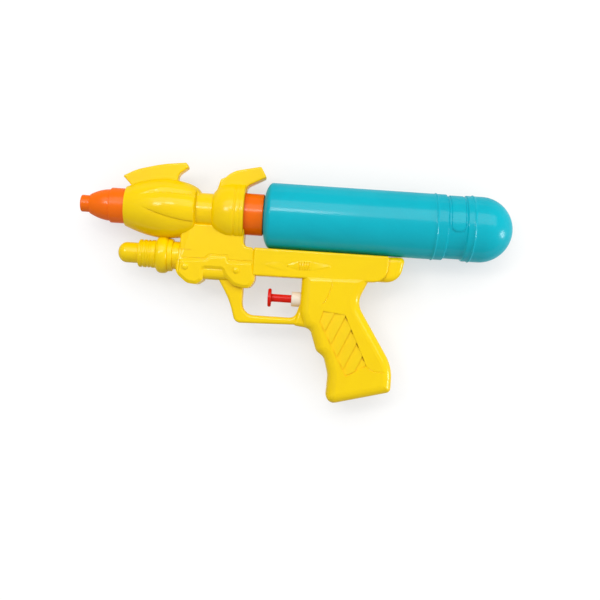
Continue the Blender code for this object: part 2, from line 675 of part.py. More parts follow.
def make_lower_body():
    origin = lower(0, 0)
    low = -RAIL_DEPTH / MM
    top = (-BLOCK_TOP_DROP - RAIL_TOP_Z) / MM
    saddle = (
        (SADDLE_FRONT_X, top, 3), (SADDLE_FRONT_X, SADDLE_LOW, 1), (BLOCK_REAR_X, SADDLE_LOW, 1),
        (BLOCK_REAR_X, 0.0, 3), (BLOCK_STEP_X, 0.0, 5), (BLOCK_STEP_X, top, 3),
    )
    deck = (
        (DECK_FRONT_X, DECK_FRONT_TOP, 1), (DECK_FRONT_X, low, 3), (BLOCK_REAR_X, low, 3),
        (BLOCK_REAR_X, DECK_TOP, 2), (DECK_STEP_X, DECK_TOP, 2), (DECK_STEP_X, DECK_FRONT_TOP, 1),
    )
    rail = ((BLOCK_STEP_X, 0.0, 1), (BLOCK_STEP_X, low, 1), RAIL_REAR_LOW, RAIL_REAR)
    taper(plate("saddle_form", saddle, origin, DECK_HALF), SADDLE_LOW, top, SADDLE_TOP_HALF / DECK_HALF)
    plate("deck_form", deck, origin, DECK_HALF)
    plate("block_form", BLOCK_CORNERS, origin, BLOCK_HALF)
    plate("rail_form", rail, origin, RAIL_HALF, EDGE / 2)
    plate("tail_form", TAIL_CORNERS, origin, TAIL_HALF)
    plate("grip_form", GRIP_CORNERS, origin, GRIP_HALF, GRIP_EDGE)
    plate("guard_form", GUARD_CORNERS, origin, GUARD_HALF, EDGE / 2)
    plate("bar_form", BAR_CORNERS, origin, BAR_HALF, BAR_EDGE)
    taper(hollow("saddle_hollow", saddle, origin, DECK_HALF), SADDLE_LOW, top, SADDLE_TOP_HALF / DECK_HALF)
    hollow("deck_hollow", deck, origin, DECK_HALF)
    hollow("block_hollow", BLOCK_CORNERS, origin, BLOCK_HALF)
    hollow("rail_hollow", rail, origin, RAIL_HALF)
    hollow("tail_hollow", TAIL_CORNERS, origin, TAIL_HALF)
    plate("hose_passage", PASSAGE_CORNERS, origin, PASSAGE_HALF, 0.0, 0.0, HOLLOWS)
    hollow("grip_hollow", GRIP_CORNERS, origin, GRIP_HALF)
    for number, (x, z) in enumerate(PIN_PLACES, 1):
        shoulder = (BLOCK_HALF + PIN_HEIGHT * PIN_SHARE, PIN_R * PIN_SHARE)
        side = [(BLOCK_HALF, PIN_R), shoulder, (BLOCK_HALF + PIN_HEIGHT, 0)]
        profile = [(-along, radius) for along, radius in reversed(side)] + side
        pin_x, pin_z = lower(x, z)
        turned(f"pin_form_{number}", profile, (pin_x, 0, pin_z), "Y", SMALL_SIDES, FORMS)


def make_pump_seat():
    """The hole in the grip's front for the pump, and a rib that cradles its rear."""
    x = GRIP_FRONT_X + CRADLE_PLACE
    box("pump_cradle", (CRADLE_THICK, 2 * GRIP_HALF, 2 * CRADLE_REACH), (x, 0, PUMP_Z), RIBS)
    rod("pump_hole", GRIP_FRONT_X - CUT_MARGIN, x + CRADLE_THICK, PUMP_R + CLEAR, (0, 0, PUMP_Z))


def make_screws():
    tip_y = SCREW_SEAT_Y - SCREW_LENGTH
    head_y = SCREW_SEAT_Y + CLEAR
    top_y = head_y + SCREW_HEAD_HEIGHT
    hole_r = SCREW_R + CLEAR
    recess_r = SCREW_HEAD_R + CLEAR
    places = [(POD_PEAK_X + POD_SCREW_PLACE[0] * MM, POD_SCREW_PLACE[1] * MM)]
    places += [lower(*place) for place in SCREW_PLACES]
    for number, (x, z) in enumerate(places, 1):
        place = (x, 0, z)
        rod(f"boss_{number}", -POD_R, POD_R, BOSS_R, place, "Y", collection=RIBS)
        hole = [(tip_y - CLEAR, 0), (tip_y - CLEAR, hole_r), (SCREW_SEAT_Y, hole_r), (SCREW_SEAT_Y, recess_r)]
        hole += [(POD_R, recess_r), (POD_R, 0)]
        turned(f"screw_hole_{number}", hole, place, "Y", SMALL_SIDES, HOLES)
        profile = [(tip_y, 0), (tip_y + SCREW_R, SCREW_R), (head_y, SCREW_R), (head_y, SCREW_HEAD_R)]
        profile += [(head_y + SCREW_HEAD_HEIGHT / 2, SCREW_HEAD_R), (top_y, SCREW_HEAD_R / 2), (top_y, 0)]
        turned(f"body_screw_{number}", profile, place, "Y", SMALL_SIDES, PARTS, STEEL)


def make_shells():
    """Join the body's forms, hollow them out round the ribs, cut the holes, and split the body at y = 0."""
    make_pod_and_neck()
    make_cup()
    make_torch()
    make_lower_body()
    make_pump_seat()
    make_screws()
    pair = FORMS.objects["pod_form"]
    FORMS.objects.unlink(pair)
    CUTTERS.objects.link(pair)
    combine(pair, "UNION", FORMS)
    for space in HOLLOWS.objects:
        combine(space, "DIFFERENCE", RIBS)
    combine(pair, "DIFFERENCE", HOLLOWS)
    combine(pair, "DIFFERENCE", HOLES)
    reach = 2 * TANK_REAR_X
    for name, side in (("left_shell", -1), ("right_shell", 1)):
        shell = box(name, (reach, reach, reach), (0, side * (reach + CLEAR) / 2, 0), PARTS, YELLOW)
        combine(shell, "INTERSECT", pair)


def make_nozzle():
    tip_round = NOZZLE_TIP_R / 7
    flange_end_x = NOZZLE_FLANGE_X + NOZZLE_FLANGE_THICK
    profile = [(0, ORIFICE_R), (0, NOZZLE_TIP_R - tip_round), (tip_round, NOZZLE_TIP_R)]
    profile += [(NOZZLE_TIP_LENGTH, NOZZLE_TIP_R)]
    rise = NOZZLE_CONE_R - NOZZLE_CONE_FRONT_R
    for share in (0.0, 0.15, 0.35, 0.65, 1.0):
        swell = NOZZLE_CONE_FRONT_R + rise * (1 - (1 - share) ** 1.9)
        profile.append((NOZZLE_TIP_LENGTH + NOZZLE_CONE_LENGTH * share, swell))
    profile += [(NOZZLE_STEP_X, NOZZLE_BASE_R), (NOZZLE_FLANGE_X, NOZZLE_BASE_R)]
    profile += [(NOZZLE_FLANGE_X, NOZZLE_FLANGE_R), (flange_end_x, NOZZLE_FLANGE_R)]
    inner_r = NOZZLE_BASE_R - NOZZLE_WALL
    socket_r = JET_R + CLEAR
    socket_end_x = JET_FRONT_X + JET_LENGTH
    profile += [(flange_end_x, inner_r), (NOZZLE_STEP_X + NOZZLE_WALL, inner_r), (socket_end_x, socket_r)]
    profile += [(ORIFICE_LENGTH, socket_r), (ORIFICE_LENGTH, ORIFICE_R)]
    turned("nozzle", profile, (0, 0, 0), material=ORANGE)
    plug_x = JET_FRONT_X + JET_LENGTH
    jet = [(JET_FRONT_X, BARB_BORE_R), (JET_FRONT_X, JET_R), (plug_x, JET_R), (plug_x, JET_STEM_R)]
    jet += [(JET_REAR_X, JET_STEM_R), (JET_REAR_X, BARB_R), (JET_REAR_X + BARB_LENGTH, BARB_R)]
    jet += [(JET_REAR_X + BARB_LENGTH, BARB_BORE_R)]
    turned("nozzle_jet", jet, (0, 0, 0), sides=SMALL_SIDES, material=WHITE)


def make_collar():
    flange_end_x = COLLAR_FLANGE_X + COLLAR_FLANGE_THICK
    profile = [(COLLAR_FRONT_X, 0), (COLLAR_FRONT_X, COLLAR_R), (COLLAR_FLANGE_X, COLLAR_R)]
    profile += [(COLLAR_FLANGE_X, COLLAR_FLANGE_R), (flange_end_x, COLLAR_FLANGE_R), (flange_end_x, COLLAR_R)]
    profile += [(COLLAR_REAR_X, COLLAR_R), (COLLAR_REAR_X, COLLAR_BORE_R), (COLLAR_FLOOR_X, COLLAR_BORE_R)]
    profile += [(COLLAR_FLOOR_X, 0)]
    collar = turned("tank_collar", profile, (0, 0, 0), material=ORANGE)
    place = (0, 0, -NIPPLE_DROP)
    start_x = COLLAR_FRONT_X - BARB_LENGTH
    end_x = COLLAR_FLOOR_X + BARB_LENGTH
    combine(collar, "UNION", rod("collar_nipples", start_x, end_x, BARB_R, place, collection=CUTTERS))
    bore = rod("collar_nipple_bore", start_x - CUT_MARGIN, end_x + CUT_MARGIN, BARB_BORE_R, place,
               sides=8, collection=CUTTERS)
    combine(collar, "DIFFERENCE", bore)
    vent = rod("collar_vent", COLLAR_FRONT_X - CUT_MARGIN, COLLAR_FLOOR_X + CUT_MARGIN, VENT_R,
               (0, 0, NIPPLE_DROP), sides=8, collection=CUTTERS)
    combine(collar, "DIFFERENCE", vent)
    start_x = LIP_X + THREAD_PLACE + THREAD_PITCH / 2
    ridge = thread("collar_thread", COLLAR_BORE_R, -THREAD_HEIGHT, start_x, COLLAR_THREAD_TURNS)
    combine(collar, "UNION", ridge)


def make_tank():
    profile = [(LIP_X, NECK_BORE_R), (LIP_X, NECK_ROOT_R), (TANK_FRONT_X, NECK_ROOT_R)]
    shoulder_r = NECK_ROOT_R + THREAD_HEIGHT
    for turn in spread(0, math.pi / 2, 4):
        along = TANK_FRONT_X + TANK_SHOULDER_LENGTH * (1 - math.cos(turn)) ** 0.8
        profile.append((along, shoulder_r + (TANK_R - shoulder_r) * math.sin(turn)))
    half = TANK_BEAD_WIDTH / 2

    def bead(place):
        x = DOME_X - place
        return [(x - half, TANK_R), (x, TANK_R + TANK_BEAD), (x + half, TANK_R)]

    profile += bead(TANK_FRONT_BEAD_PLACE)
    slope = TANK_BAND_DEPTH / 2
    band_end_x = BAND_X + TANK_BAND_LENGTH
    profile += [(BAND_X - slope, TANK_R), (BAND_X + slope, BAND_R)]
    profile += [(band_end_x - slope, BAND_R), (band_end_x + slope, TANK_R)]
    profile += bead(TANK_REAR_BEAD_PLACE)
    dome = spread(0, math.pi / 2, 6)[:-1]
    profile += [(DOME_X + TANK_R * math.sin(a), TANK_R * math.cos(a)) for a in dome]
    inner_r = TANK_R - TANK_WALL
    band_r = BAND_R - TANK_WALL
    shoulder_end_x = TANK_FRONT_X + TANK_SHOULDER_LENGTH + 2 * TANK_WALL
    inner = [(TANK_FRONT_X + TANK_WALL, NECK_BORE_R), (shoulder_end_x, inner_r)]
    inner += [(BAND_X - slope - TANK_WALL, inner_r), (BAND_X, band_r)]
    inner += [(band_end_x, band_r), (band_end_x + slope + TANK_WALL, inner_r)]
    dome = spread(0, math.pi / 2, 4)[:-1]
    inner += [(DOME_X + inner_r * math.sin(a), inner_r * math.cos(a)) for a in dome]
    profile += [(TANK_REAR_X, 0), (DOME_X + inner_r, 0)] + inner[::-1]
    tank = turned("tank", profile, (0, 0, 0), material=TEAL)
    ridge = thread("tank_thread", NECK_ROOT_R, THREAD_HEIGHT, LIP_X + THREAD_PLACE, NECK_THREAD_TURNS)
    combine(tank, "UNION", ridge)
    pad_x = BAND_X + (TANK_BAND_LENGTH - TANK_PAD_LENGTH) / 2
    pad_end_x = pad_x + TANK_PAD_LENGTH
    pad_r = BAND_R + TANK_PAD_HEIGHT
    sunk_r = BAND_R - TANK_WALL / 2
    ring = [(pad_x, sunk_r), (pad_x, pad_r), (pad_end_x, pad_r), (pad_end_x, sunk_r)]
    pad = turned("tank_pad", ring, (0, 0, 0), collection=CUTTERS)
    upper = (2 * TANK_BAND_LENGTH, 4 * TANK_R, 2 * TANK_R)
    place = ((pad_x + pad_end_x) / 2, 0, TANK_R - TANK_PAD_DROP)
    combine(pad, "INTERSECT", box("tank_pad_upper", upper, place, CUTTERS))
    combine(tank, "UNION", pad)
    gasket_r = COLLAR_BORE_R - THREAD_HEIGHT - CLEAR
    ring = [(GASKET_X, gasket_r - GASKET_WIDTH), (GASKET_X, gasket_r)]
    ring += [(GASKET_X + GASKET_THICK, gasket_r), (GASKET_X + GASKET_THICK, gasket_r - GASKET_WIDTH)]
    turned("tank_gasket", ring, (0, 0, 0), material=RUBBER)


def make_pump():
    place = (0, 0, PUMP_Z)
    pump = rod("pump_body", PUMP_FRONT_X, TOWER_X, PUMP_R, place, sides=FEWER_SIDES, collection=PARTS,
               material=WHITE)
    tower_place = (TOWER_X, 0, 0)
    tower = rod("pump_tower", TOWER_LOW_Z, TOWER_TOP_Z, TOWER_R, tower_place, "Z", FEWER_SIDES, CUTTERS)
    combine(pump, "UNION", tower)
    mouth_r = PUMP_BORE_R + PUMP_MOUTH_STEP
    mouth_x = BUSH_X + BUSH_LENGTH
    bore = [(PUMP_FRONT_X - CUT_MARGIN, 0), (PUMP_FRONT_X - CUT_MARGIN, mouth_r), (mouth_x, mouth_r)]
    bore += [(mouth_x, PUMP_BORE_R), (CHAMBER_END_X, PUMP_BORE_R), (CHAMBER_END_X, PORT_R), (TOWER_X, PORT_R)]
    bore += [(TOWER_X, 0)]
    combine(pump, "DIFFERENCE", turned("pump_bore", bore, place, sides=FEWER_SIDES, collection=CUTTERS))
    low_z, top_z = TOWER_LOW_Z - CUT_MARGIN, TOWER_TOP_Z + CUT_MARGIN
    well = [(low_z, 0), (low_z, TOWER_BORE_R), (LEDGE_Z, TOWER_BORE_R), (LEDGE_Z, SEAT_R)]
    well += [(LEDGE_TOP_Z, SEAT_R), (LEDGE_TOP_Z, TOWER_BORE_R), (top_z, TOWER_BORE_R), (top_z, 0)]
    combine(pump, "DIFFERENCE", turned("tower_bore", well, tower_place, "Z", SMALL_SIDES, CUTTERS))
    bush_r = mouth_r - CLEAR
    rod_hole_r = TRIGGER_ROD_R + CLEAR
    bush = [(BUSH_X, rod_hole_r), (BUSH_X, bush_r), (mouth_x - CLEAR, bush_r), (mouth_x - CLEAR, rod_hole_r)]
    turned("pump_bush", bush, place, sides=FEWER_SIDES, material=WHITE)


def make_trigger():
    place = (0, 0, PUMP_Z)
    back_x = PUMP_FRONT_X - TRIGGER_REACH
    face_x = back_x - TRIGGER_HEAD_THICK
    soft = TRIGGER_HEAD_THICK / 3
    spigot_end_x = PISTON_REAR_X + CLEAR
    profile = [(face_x, 0), (face_x, TRIGGER_HEAD_R - soft), (face_x + soft, TRIGGER_HEAD_R)]
    profile += [(back_x - soft, TRIGGER_HEAD_R), (back_x, TRIGGER_HEAD_R - soft), (back_x, TRIGGER_ROD_R)]
    profile += [(PISTON_X - CLEAR, TRIGGER_ROD_R), (PISTON_X - CLEAR, TRIGGER_SPIGOT_R)]
    profile += [(spigot_end_x, TRIGGER_SPIGOT_R), (spigot_end_x, 0)]
    turned("trigger", profile, place, sides=FEWER_SIDES, material=RED)
    piston_r = PUMP_BORE_R - PISTON_GAP
    hole_r = TRIGGER_SPIGOT_R + CLEAR
    groove_r = piston_r - 2 * SEAL_WIRE_R - CLEAR
    groove_half = SEAL_WIRE_R + CLEAR
    middle_x = PISTON_X + PISTON_LENGTH / 2
    piston = [(PISTON_X, hole_r), (PISTON_X, piston_r), (middle_x - groove_half, piston_r)]
    piston += [(middle_x - groove_half, groove_r), (middle_x + groove_half, groove_r)]
    piston += [(middle_x + groove_half, piston_r), (PISTON_REAR_X, piston_r), (PISTON_REAR_X, hole_r)]
    turned("piston", piston, place, sides=FEWER_SIDES, material=WHITE)
    seal_r = groove_r + CLEAR / 2 + SEAL_WIRE_R
    ring = [(middle_x + SEAL_WIRE_R * math.cos(a), seal_r + SEAL_WIRE_R * math.sin(a))
            for a in spread(0, 2 * math.pi, 8)[:-1]]
    turned("piston_seal", ring, place, sides=FEWER_SIDES, material=RUBBER)
    start_x = PISTON_REAR_X + CLEAR + SPRING_WIRE_R
    end_x = CHAMBER_END_X - CLEAR - SPRING_WIRE_R
    helix = []
    for k in range(SPRING_COILS * 10 + 1):
        angle = 2 * math.pi * k / 10
        x = start_x + (end_x - start_x) * k / (SPRING_COILS * 10)
        helix.append((x, SPRING_R * math.cos(angle), PUMP_Z + SPRING_R * math.sin(angle)))
    wire("return_spring", helix, SPRING_WIRE_R, 1, PARTS, STEEL)


def make_valves():
    place = (TOWER_X, 0, 0)
    plug_r = TOWER_BORE_R - CLEAR
    flange_z = TOWER_LOW_Z - CLEAR
    barb_z = flange_z - PLUG_FLANGE_THICK
    seat_z = INLET_PLUG_TOP_Z - SEAT_R
    inlet = [(barb_z - BARB_LENGTH, BARB_BORE_R), (barb_z - BARB_LENGTH, BARB_R), (barb_z, BARB_R)]
    inlet += [(barb_z, PLUG_FLANGE_R), (flange_z, PLUG_FLANGE_R), (flange_z, plug_r)]
    inlet += [(INLET_PLUG_TOP_Z, plug_r), (INLET_PLUG_TOP_Z, SEAT_R), (seat_z, SEAT_R), (seat_z, BARB_BORE_R)]
    turned("inlet_seat", inlet, place, "Z", SMALL_SIDES, material=WHITE)
    flange_z = TOWER_TOP_Z + CLEAR
    barb_z = flange_z + PLUG_FLANGE_THICK
    plug_z = TOWER_TOP_Z - OUTLET_PLUG_LENGTH
    outlet = [(plug_z, BARB_BORE_R), (plug_z, plug_r), (flange_z, plug_r), (flange_z, PLUG_FLANGE_R)]
    outlet += [(barb_z, PLUG_FLANGE_R), (barb_z, BARB_R), (barb_z + BARB_LENGTH, BARB_R)]
    outlet += [(barb_z + BARB_LENGTH, BARB_BORE_R)]
    turned("outlet_barb", outlet, place, "Z", SMALL_SIDES, material=WHITE)
    for name, seat_z in (("inlet_ball", INLET_PLUG_TOP_Z), ("outlet_ball", LEDGE_TOP_Z)):
        mesh = bpy.data.meshes.new(name)
        model = bmesh.new()
        bmesh.ops.create_uvsphere(model, u_segments=12, v_segments=8, radius=BALL_R)
        model.to_mesh(mesh)
        model.free()
        ball = add_object(name, mesh, PARTS, STEEL)
        ball.location = (TOWER_X, 0, seat_z + BALL_SEAT_RISE)


def make_hoses():
    """Hose routes: end points follow the barbs, the points between were chosen to miss the ribs."""
    low_barb_z = TOWER_LOW_Z - 2 * CLEAR - PLUG_FLANGE_THICK
    top_barb_z = TOWER_TOP_Z + 2 * CLEAR + PLUG_FLANGE_THICK

    def route(*points):
        for x, y, z in points:
            low_x, low_z = lower(x, z)
            yield low_x, y * MM, low_z

    jet = [(JET_REAR_X + CLEAR, 0, 0), (JET_REAR_X + 2 * BARB_LENGTH, 0, 0), (POD_PEAK_X + BARB_LENGTH, 0, 0)]
    jet += route((-5, 3, 22), (2, 4.2, 13), (4.5, 4.2, 4), (5.5, 4.2, -6), (9, 4.2, -13.5),
                 (17, 4.2, -16.2), (30, 4.2, -15.5), (55, 4.2, -15), (78, 4.2, -13.5), (90, 4, -9.5),
                 (98, 3.2, -7.2), (106, 1.2, -7.4))
    jet += [(TOWER_X, 0, top_barb_z + BARB_LENGTH + HOSE_R), (TOWER_X, 0, top_barb_z + BARB_LENGTH / 2)]
    jet += [(TOWER_X, 0, top_barb_z)]
    hose("jet_tube", jet)
    feed_x = COLLAR_FRONT_X - CLEAR
    feed = [(feed_x, 0, -NIPPLE_DROP), (feed_x - BARB_LENGTH, 0, -NIPPLE_DROP)]
    feed += route((6, -2, 18), (2.5, -4, 12), (2, -4.2, 4), (3.5, -4.2, -6), (8, -4.2, -13.5),
                  (17, -4.2, -16.2), (30, -4.2, -15.5), (60, -4.2, -15), (95, -5.2, -14.5), (108, -6.3, -15),
                  (115.5, -5.6, -19), (119.5, -3.5, -27), (119.8, -2, -36), (122.5, 0, -47),
                  (127.5, 0, -57.5), (130, 0, -67), (127, 0, -76), (119, 0, -78.5), (112.5, 0, -73))
    feed += [(TOWER_X, 0, low_barb_z - BARB_LENGTH - HOSE_R), (TOWER_X, 0, low_barb_z - BARB_LENGTH / 2)]
    feed += [(TOWER_X, 0, low_barb_z)]
    hose("feed_tube", feed)
    dip_x = COLLAR_FLOOR_X + CLEAR
    reach_x = DOME_X - dip_x
    floor_z = NIPPLE_DROP - BAND_R + TANK_WALL + 2 * HOSE_R
    dip = [(dip_x + reach_x * share, 0, -NIPPLE_DROP + floor_z * max(0, share - DIP_BEND_SHARE) ** 1.5)
           for share in spread(0, DIP_REACH_SHARE, 8)]
    hose("dip_tube", dip)


make_shells()
make_nozzle()
make_collar()
make_tank()
make_pump()
make_trigger()
make_valves()
make_hoses()
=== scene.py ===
"""Toy water squirter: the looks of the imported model, as surfaces worked out with numpy.

Shapes are worked out in millimetres, with x running back along the barrel from just ahead of the
nozzle's tip, z up from the barrel's axis and y to the right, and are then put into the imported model's
frame in metres.
"""

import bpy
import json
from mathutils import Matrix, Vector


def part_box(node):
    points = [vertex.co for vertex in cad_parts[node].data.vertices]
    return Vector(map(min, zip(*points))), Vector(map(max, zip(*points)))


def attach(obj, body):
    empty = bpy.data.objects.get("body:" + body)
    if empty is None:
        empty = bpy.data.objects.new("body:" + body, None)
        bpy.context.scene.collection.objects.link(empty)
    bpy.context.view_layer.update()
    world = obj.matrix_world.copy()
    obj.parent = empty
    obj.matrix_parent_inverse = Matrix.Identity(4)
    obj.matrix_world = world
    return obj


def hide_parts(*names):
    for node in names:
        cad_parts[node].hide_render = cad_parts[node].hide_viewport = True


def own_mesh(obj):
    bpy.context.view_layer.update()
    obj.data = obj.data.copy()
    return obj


bl_info = {
    "name": "Toy Water Squirter",
    "version": (1, 0, 0),
    "blender": (4, 5, 0),
    "location": "3D View > Sidebar > Squirter",
    "description": "Builds the moulded pieces, finishes and stage of a toy water squirter",
    "category": "Add Mesh",
}

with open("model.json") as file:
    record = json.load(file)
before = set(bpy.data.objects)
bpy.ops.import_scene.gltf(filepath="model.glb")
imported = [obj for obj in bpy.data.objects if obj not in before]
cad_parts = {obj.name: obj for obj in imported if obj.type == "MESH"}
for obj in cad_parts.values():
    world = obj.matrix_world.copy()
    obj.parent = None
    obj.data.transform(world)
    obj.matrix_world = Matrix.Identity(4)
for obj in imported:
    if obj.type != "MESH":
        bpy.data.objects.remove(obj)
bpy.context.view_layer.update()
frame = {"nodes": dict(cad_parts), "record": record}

import json
import math

import bmesh
import bpy
import numpy as np
from bpy.props import FloatProperty, FloatVectorProperty, PointerProperty
from mathutils import Matrix, Vector

MM = 0.001
NOZZLE_LOW, NOZZLE_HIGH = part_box("nozzle")
NOZZLE_TIP = 1.2
AXIS = np.array((NOZZLE_LOW[0] - NOZZLE_TIP * MM, 0.0, (NOZZLE_LOW[2] + NOZZLE_HIGH[2]) / 2))

# Barrel: pod, neck and collar cup
POD_FRONT = 35.5
POD_PEAK = 65.0
POD_REAR = 92.3
POD_R = 22.5
POD_FRONT_R = 15.0
POD_CLOSE = 9.9
NECK_R = 13.7
POD_STEP = 89.4
CUP_FRONT = 101.8
CUP_FLARE_END = 117.5
CUP_REAR = 126.0
CUP_R = 21.0
CUP_RINGS = ((118.9, 0.75, 0.7), (122.6, 0.5, 0.35))
LIP_ROUND = 0.9
BARREL_COLUMNS = 256

# Places that the lower body's and the fins' outlines are given from
LOWER = (92.0, -25.5)
POD_FIN_FROM = (35.5, 22.5)
CUP_FIN_FROM = (102.5, 21.0)

# Outlines as corners (x, z, rounding)
POD_FIN = (
    (4.5, -8.1, 1), (1.3, -4.5, 2), (-3.4, 0.0, 0.9), (6.5, 5.6, 40), (26.0, 10.9, 100),
    (44.0, 13.1, 1.3), (46.1, 9.6, 1.1), (38.8, 3.7, 6), (37.9, -8.1, 1),
)
CUP_FIN = (
    (2.2, -12, 1), (0.2, -7.0, 0.8), (9.2, 9.6, 22), (33.9, 15.1, 1.6),
    (38.6, 7.2, 1.5), (24.4, -0.5, 5), (23.0, -12, 1),
)
GRIP = (
    (80.7, -15.5, 1), (80.5, -47.0, 12), (84.5, -57.4, 9), (89.5, -59.1, 8), (94.9, -74.7, 6),
    (101.0, -78.7, 9), (105.0, -92.0, 20), (104.3, -114.83, 6), (153.03, -102.13, 4), (153.0, -82.7, 50),
    (123.3, -36.5, 14), (133.4, -14.5, 1),
)
TOE = (
    (81.5, -38.0, 1), (80.5, -41.5, 6), (77.2, -50.5, 4), (76.2, -56.6, 2.3), (88.5, -58.0, 4),
    (93.0, -66.0, 2), (97.0, -60.0, 2), (97.0, -38.0, 1),
)
GUARD = (
    (15.6, -17.5, 1), (18.2, -26.5, 10), (26.9, -40.7, 60), (32.0, -57.5, 5.5), (88.0, -55.7, 1),
    (88.0, -40.5, 1), (80.2, -41.0, 1), (77.0, -51.1, 6), (36.7, -51.1, 9), (36.7, -17.5, 1),
)
TAIL = ((110.0, -2.5, 1), (110.0, -19.5, 1), (154.2, -19.3, 18), (157.9, 0.0, 4.5), (150, 0.0, 1))
RAIL = ((43.3, 0.0, 1), (43.3, -21.0, 1), (144.0, -20.0, 15), (145.3, 0.0, 2))
RAIL_ROOM = ((35.0, 0.0, 1), (35.0, -21.0, 1), (144.0, -20.0, 15), (145.3, 0.0, 2))
SADDLE = (
    (-12.9, 15.0, 3), (-12.9, -12.0, 1), (43.5, -12.0, 1), (43.5, 0.0, 3), (35.0, 0.0, 5), (35.0, 15.0, 3),
)
DECK = (
    (-14.2, -4.7, 1), (-14.2, -13.0, 1), (43.4, -13.0, 1), (43.4, -8.0, 2), (-3.0, -8.0, 2), (-3.0, -4.7, 1),
)
BLOCK = (
    (-14.8, -11.5, 2), (-14.8, -22.8, 9), (-5.5, -30.1, 8), (1.5, -30.5, 5), (6.3, -27.0, 3),
    (6.3, -18.4, 1.5), (20.2, -18.4, 1.5), (22.0, -22.5, 6), (29.5, -29.6, 8), (36.0, -31.0, 8),
    (42.0, -30.6, 5), (45.2, -24.8, 5), (45.2, -19.8, 1), (43.8, -16.0, 2), (43.6, -10.9, 1),
    (25.0, -11.2, 1), (23.6, -7.7, 1), (10.2, -7.8, 2), (7.0, -11.0, 2),
)
BAR = ((0.0, -14.0, 1), (0.0, -26.1, 1), (27.0, -26.1, 1), (27.0, -14.0, 1))
PASSAGE = ((-4.0, 8.0, 2), (12.0, 8.0, 2), (12.0, 22.0, 2), (-4.0, 22.0, 2))

# Bows of the saddle, the deck and the block, seen from above: front x, half width there, x where the
# flat side starts, and the level where the half width holds
BOWS = {
    "saddle": (-12.9, 10.9, -3.0, -30.0),
    "deck": (-14.2, 11.1, -3.6, -35.0),
    "block": (-14.8, 11.4, -8.5, -46.0),
}
BOW_REAR = 60.0
BOW_LEAN = 0.115
BOW_LOW = -62.0
BOW_TOP = -5.0

# Half thicknesses of the plates of the lower body
HALF = {
    "grip": 12.5, "toe": 8.2, "guard": 7.0, "tail": 8.5, "rail": 12.0, "saddle": 11.5, "deck": 11.45,
    "block": 12.1, "bar": 10.5, "passage": 6.9, "pod_fin": 5.0, "cup_fin": 6.5,
}

# Roundings of their rims; the block has a slope (width, drop) instead
EDGES = {"toe": 3.2, "guard": 2.0, "tail": 4.0, "rail": 1.4, "bar": 5.0}
EDGE_SUPPORT = 0.15
FIN_EDGE = 1.25
FIN_SUPPORT = 0.2
SADDLE_EDGE = 1.4
DECK_EDGE = 0.5
BLOCK_BEVEL = (2.4, 1.6)

# The saddle's taper, pins, screws, grip panel and rail marks
SADDLE_LOW = -12.0
SADDLE_TOP = 15.0
SADDLE_SHARE = 0.93
PIN_R = 2.7
PIN_HEIGHT = 1.3
PIN_PLACES = ((-7.5, -17.5), (31.0, -17.9))
SCREW_PLACES = ((-24.0, 12.5), (-3.5, -23.8), (58.0, -6.0), (135.0, -7.5), (92.0, -53.0), (130.0, -96.0))
PANEL = [(190.4, -69.9), (188.3, -78.1), (210.2, -117.3), (224.9, -108.6), (206.6, -71.8)]
RIB_START = 201.8
RIB_LEAN = 66.0
RIB_COUNT = 6
MARK_HEIGHT = 0.9
MARK_SLOPE = 1.3
MARK_GROOVES = (169.8, 178.0, 1.9)
GRIP_WALL = 4.2
SLOT_WIDTH = 0.7
SLOT_DEPTH = 1.2
NOTCH_DEPTH = 3.4
NOTCH_SPAN = (0.02, 0.3)
SCREW_SEAT = 8.2
SCREW_HEAD_R = 2.8
SCREW_HEAD_HEIGHT = 1.8
SCREW_R = 1.4
SCREW_TIP = SCREW_SEAT - 16.0
BOSS_R = 4.9
SEAM_GAP = 0.3
FIT_GAP = 0.3

# Torch-like lower barrel
TORCH_Z = -35.0
TORCH_GROOVES = (50.7, 54.1, 56.7)
TORCH_FRONT = 31.7
TORCH_NOSE = 6.6
TORCH_TIP_R = 7.8
TORCH_R = 10.6
TORCH_BEAD = (65.9, 4.7, 3.6)
TORCH_ROOT = 82.3

# Collar, thread and tank
COLLAR_FRONT = 109.0
COLLAR_REAR = 140.4
COLLAR_R = 15.8
COLLAR_BORE_R = 14.0
COLLAR_FLOOR = 112.0
NIPPLE_Z = -5.5
THREAD_PITCH = 3.0
THREAD_HEIGHT = 0.9
THREAD_ROOT_HALF = 0.75
THREAD_CREST_HALF = 0.35
TANK_LIP = 114.1
TANK_THREAD = TANK_LIP + 3.5
COLLAR_THREAD = TANK_THREAD + THREAD_PITCH / 2
TANK_NECK_R = 12.7
TANK_BORE_R = 10.7
TANK_FRONT = 140.7
TANK_R = 25.0
TANK_WALL = 1.6
TANK_DOME = 304.9
TANK_BEADS = (269.7, 297.6)
BAND_FRONT = 278.0
BAND_REAR = 292.2
BAND_DROP = 1.3
BAND_SLOPE = 0.65
PAD_MIDDLE = 285.4
PAD_HALF = 5.2
PAD_LOW = -4.4
PAD_CORNER = 3.8
PAD_HEIGHT = 0.8

# Pump and trigger
PUMP_Z = -62.3
PUMP_FRONT = 165.6
PUMP_R = 5.6
PUMP_BORE_R = 4.2
CHAMBER_END = 197.5
TOWER_X = 202.3
TRIGGER_FACE = 147.6
SPRING_R = 3.3
SPRING_WIRE_R = 0.35
SPRING_COILS = 7

# Moulded finish: depth of the grain in metres, gloss and added roughness under the coat, the coat's index,
# the turn away over which the coat falls to a share, and the angle in degrees past which an edge is sharp
GRAIN_DEPTH = 0.000008
UNDER_GLOSS = 0.06
UNDER_ROUGH = 0.2
COAT_IOR = 1.4
COAT_FACING = (0.12, 0.5)
COAT_LEFT = 0.08
CREASE = 35.0

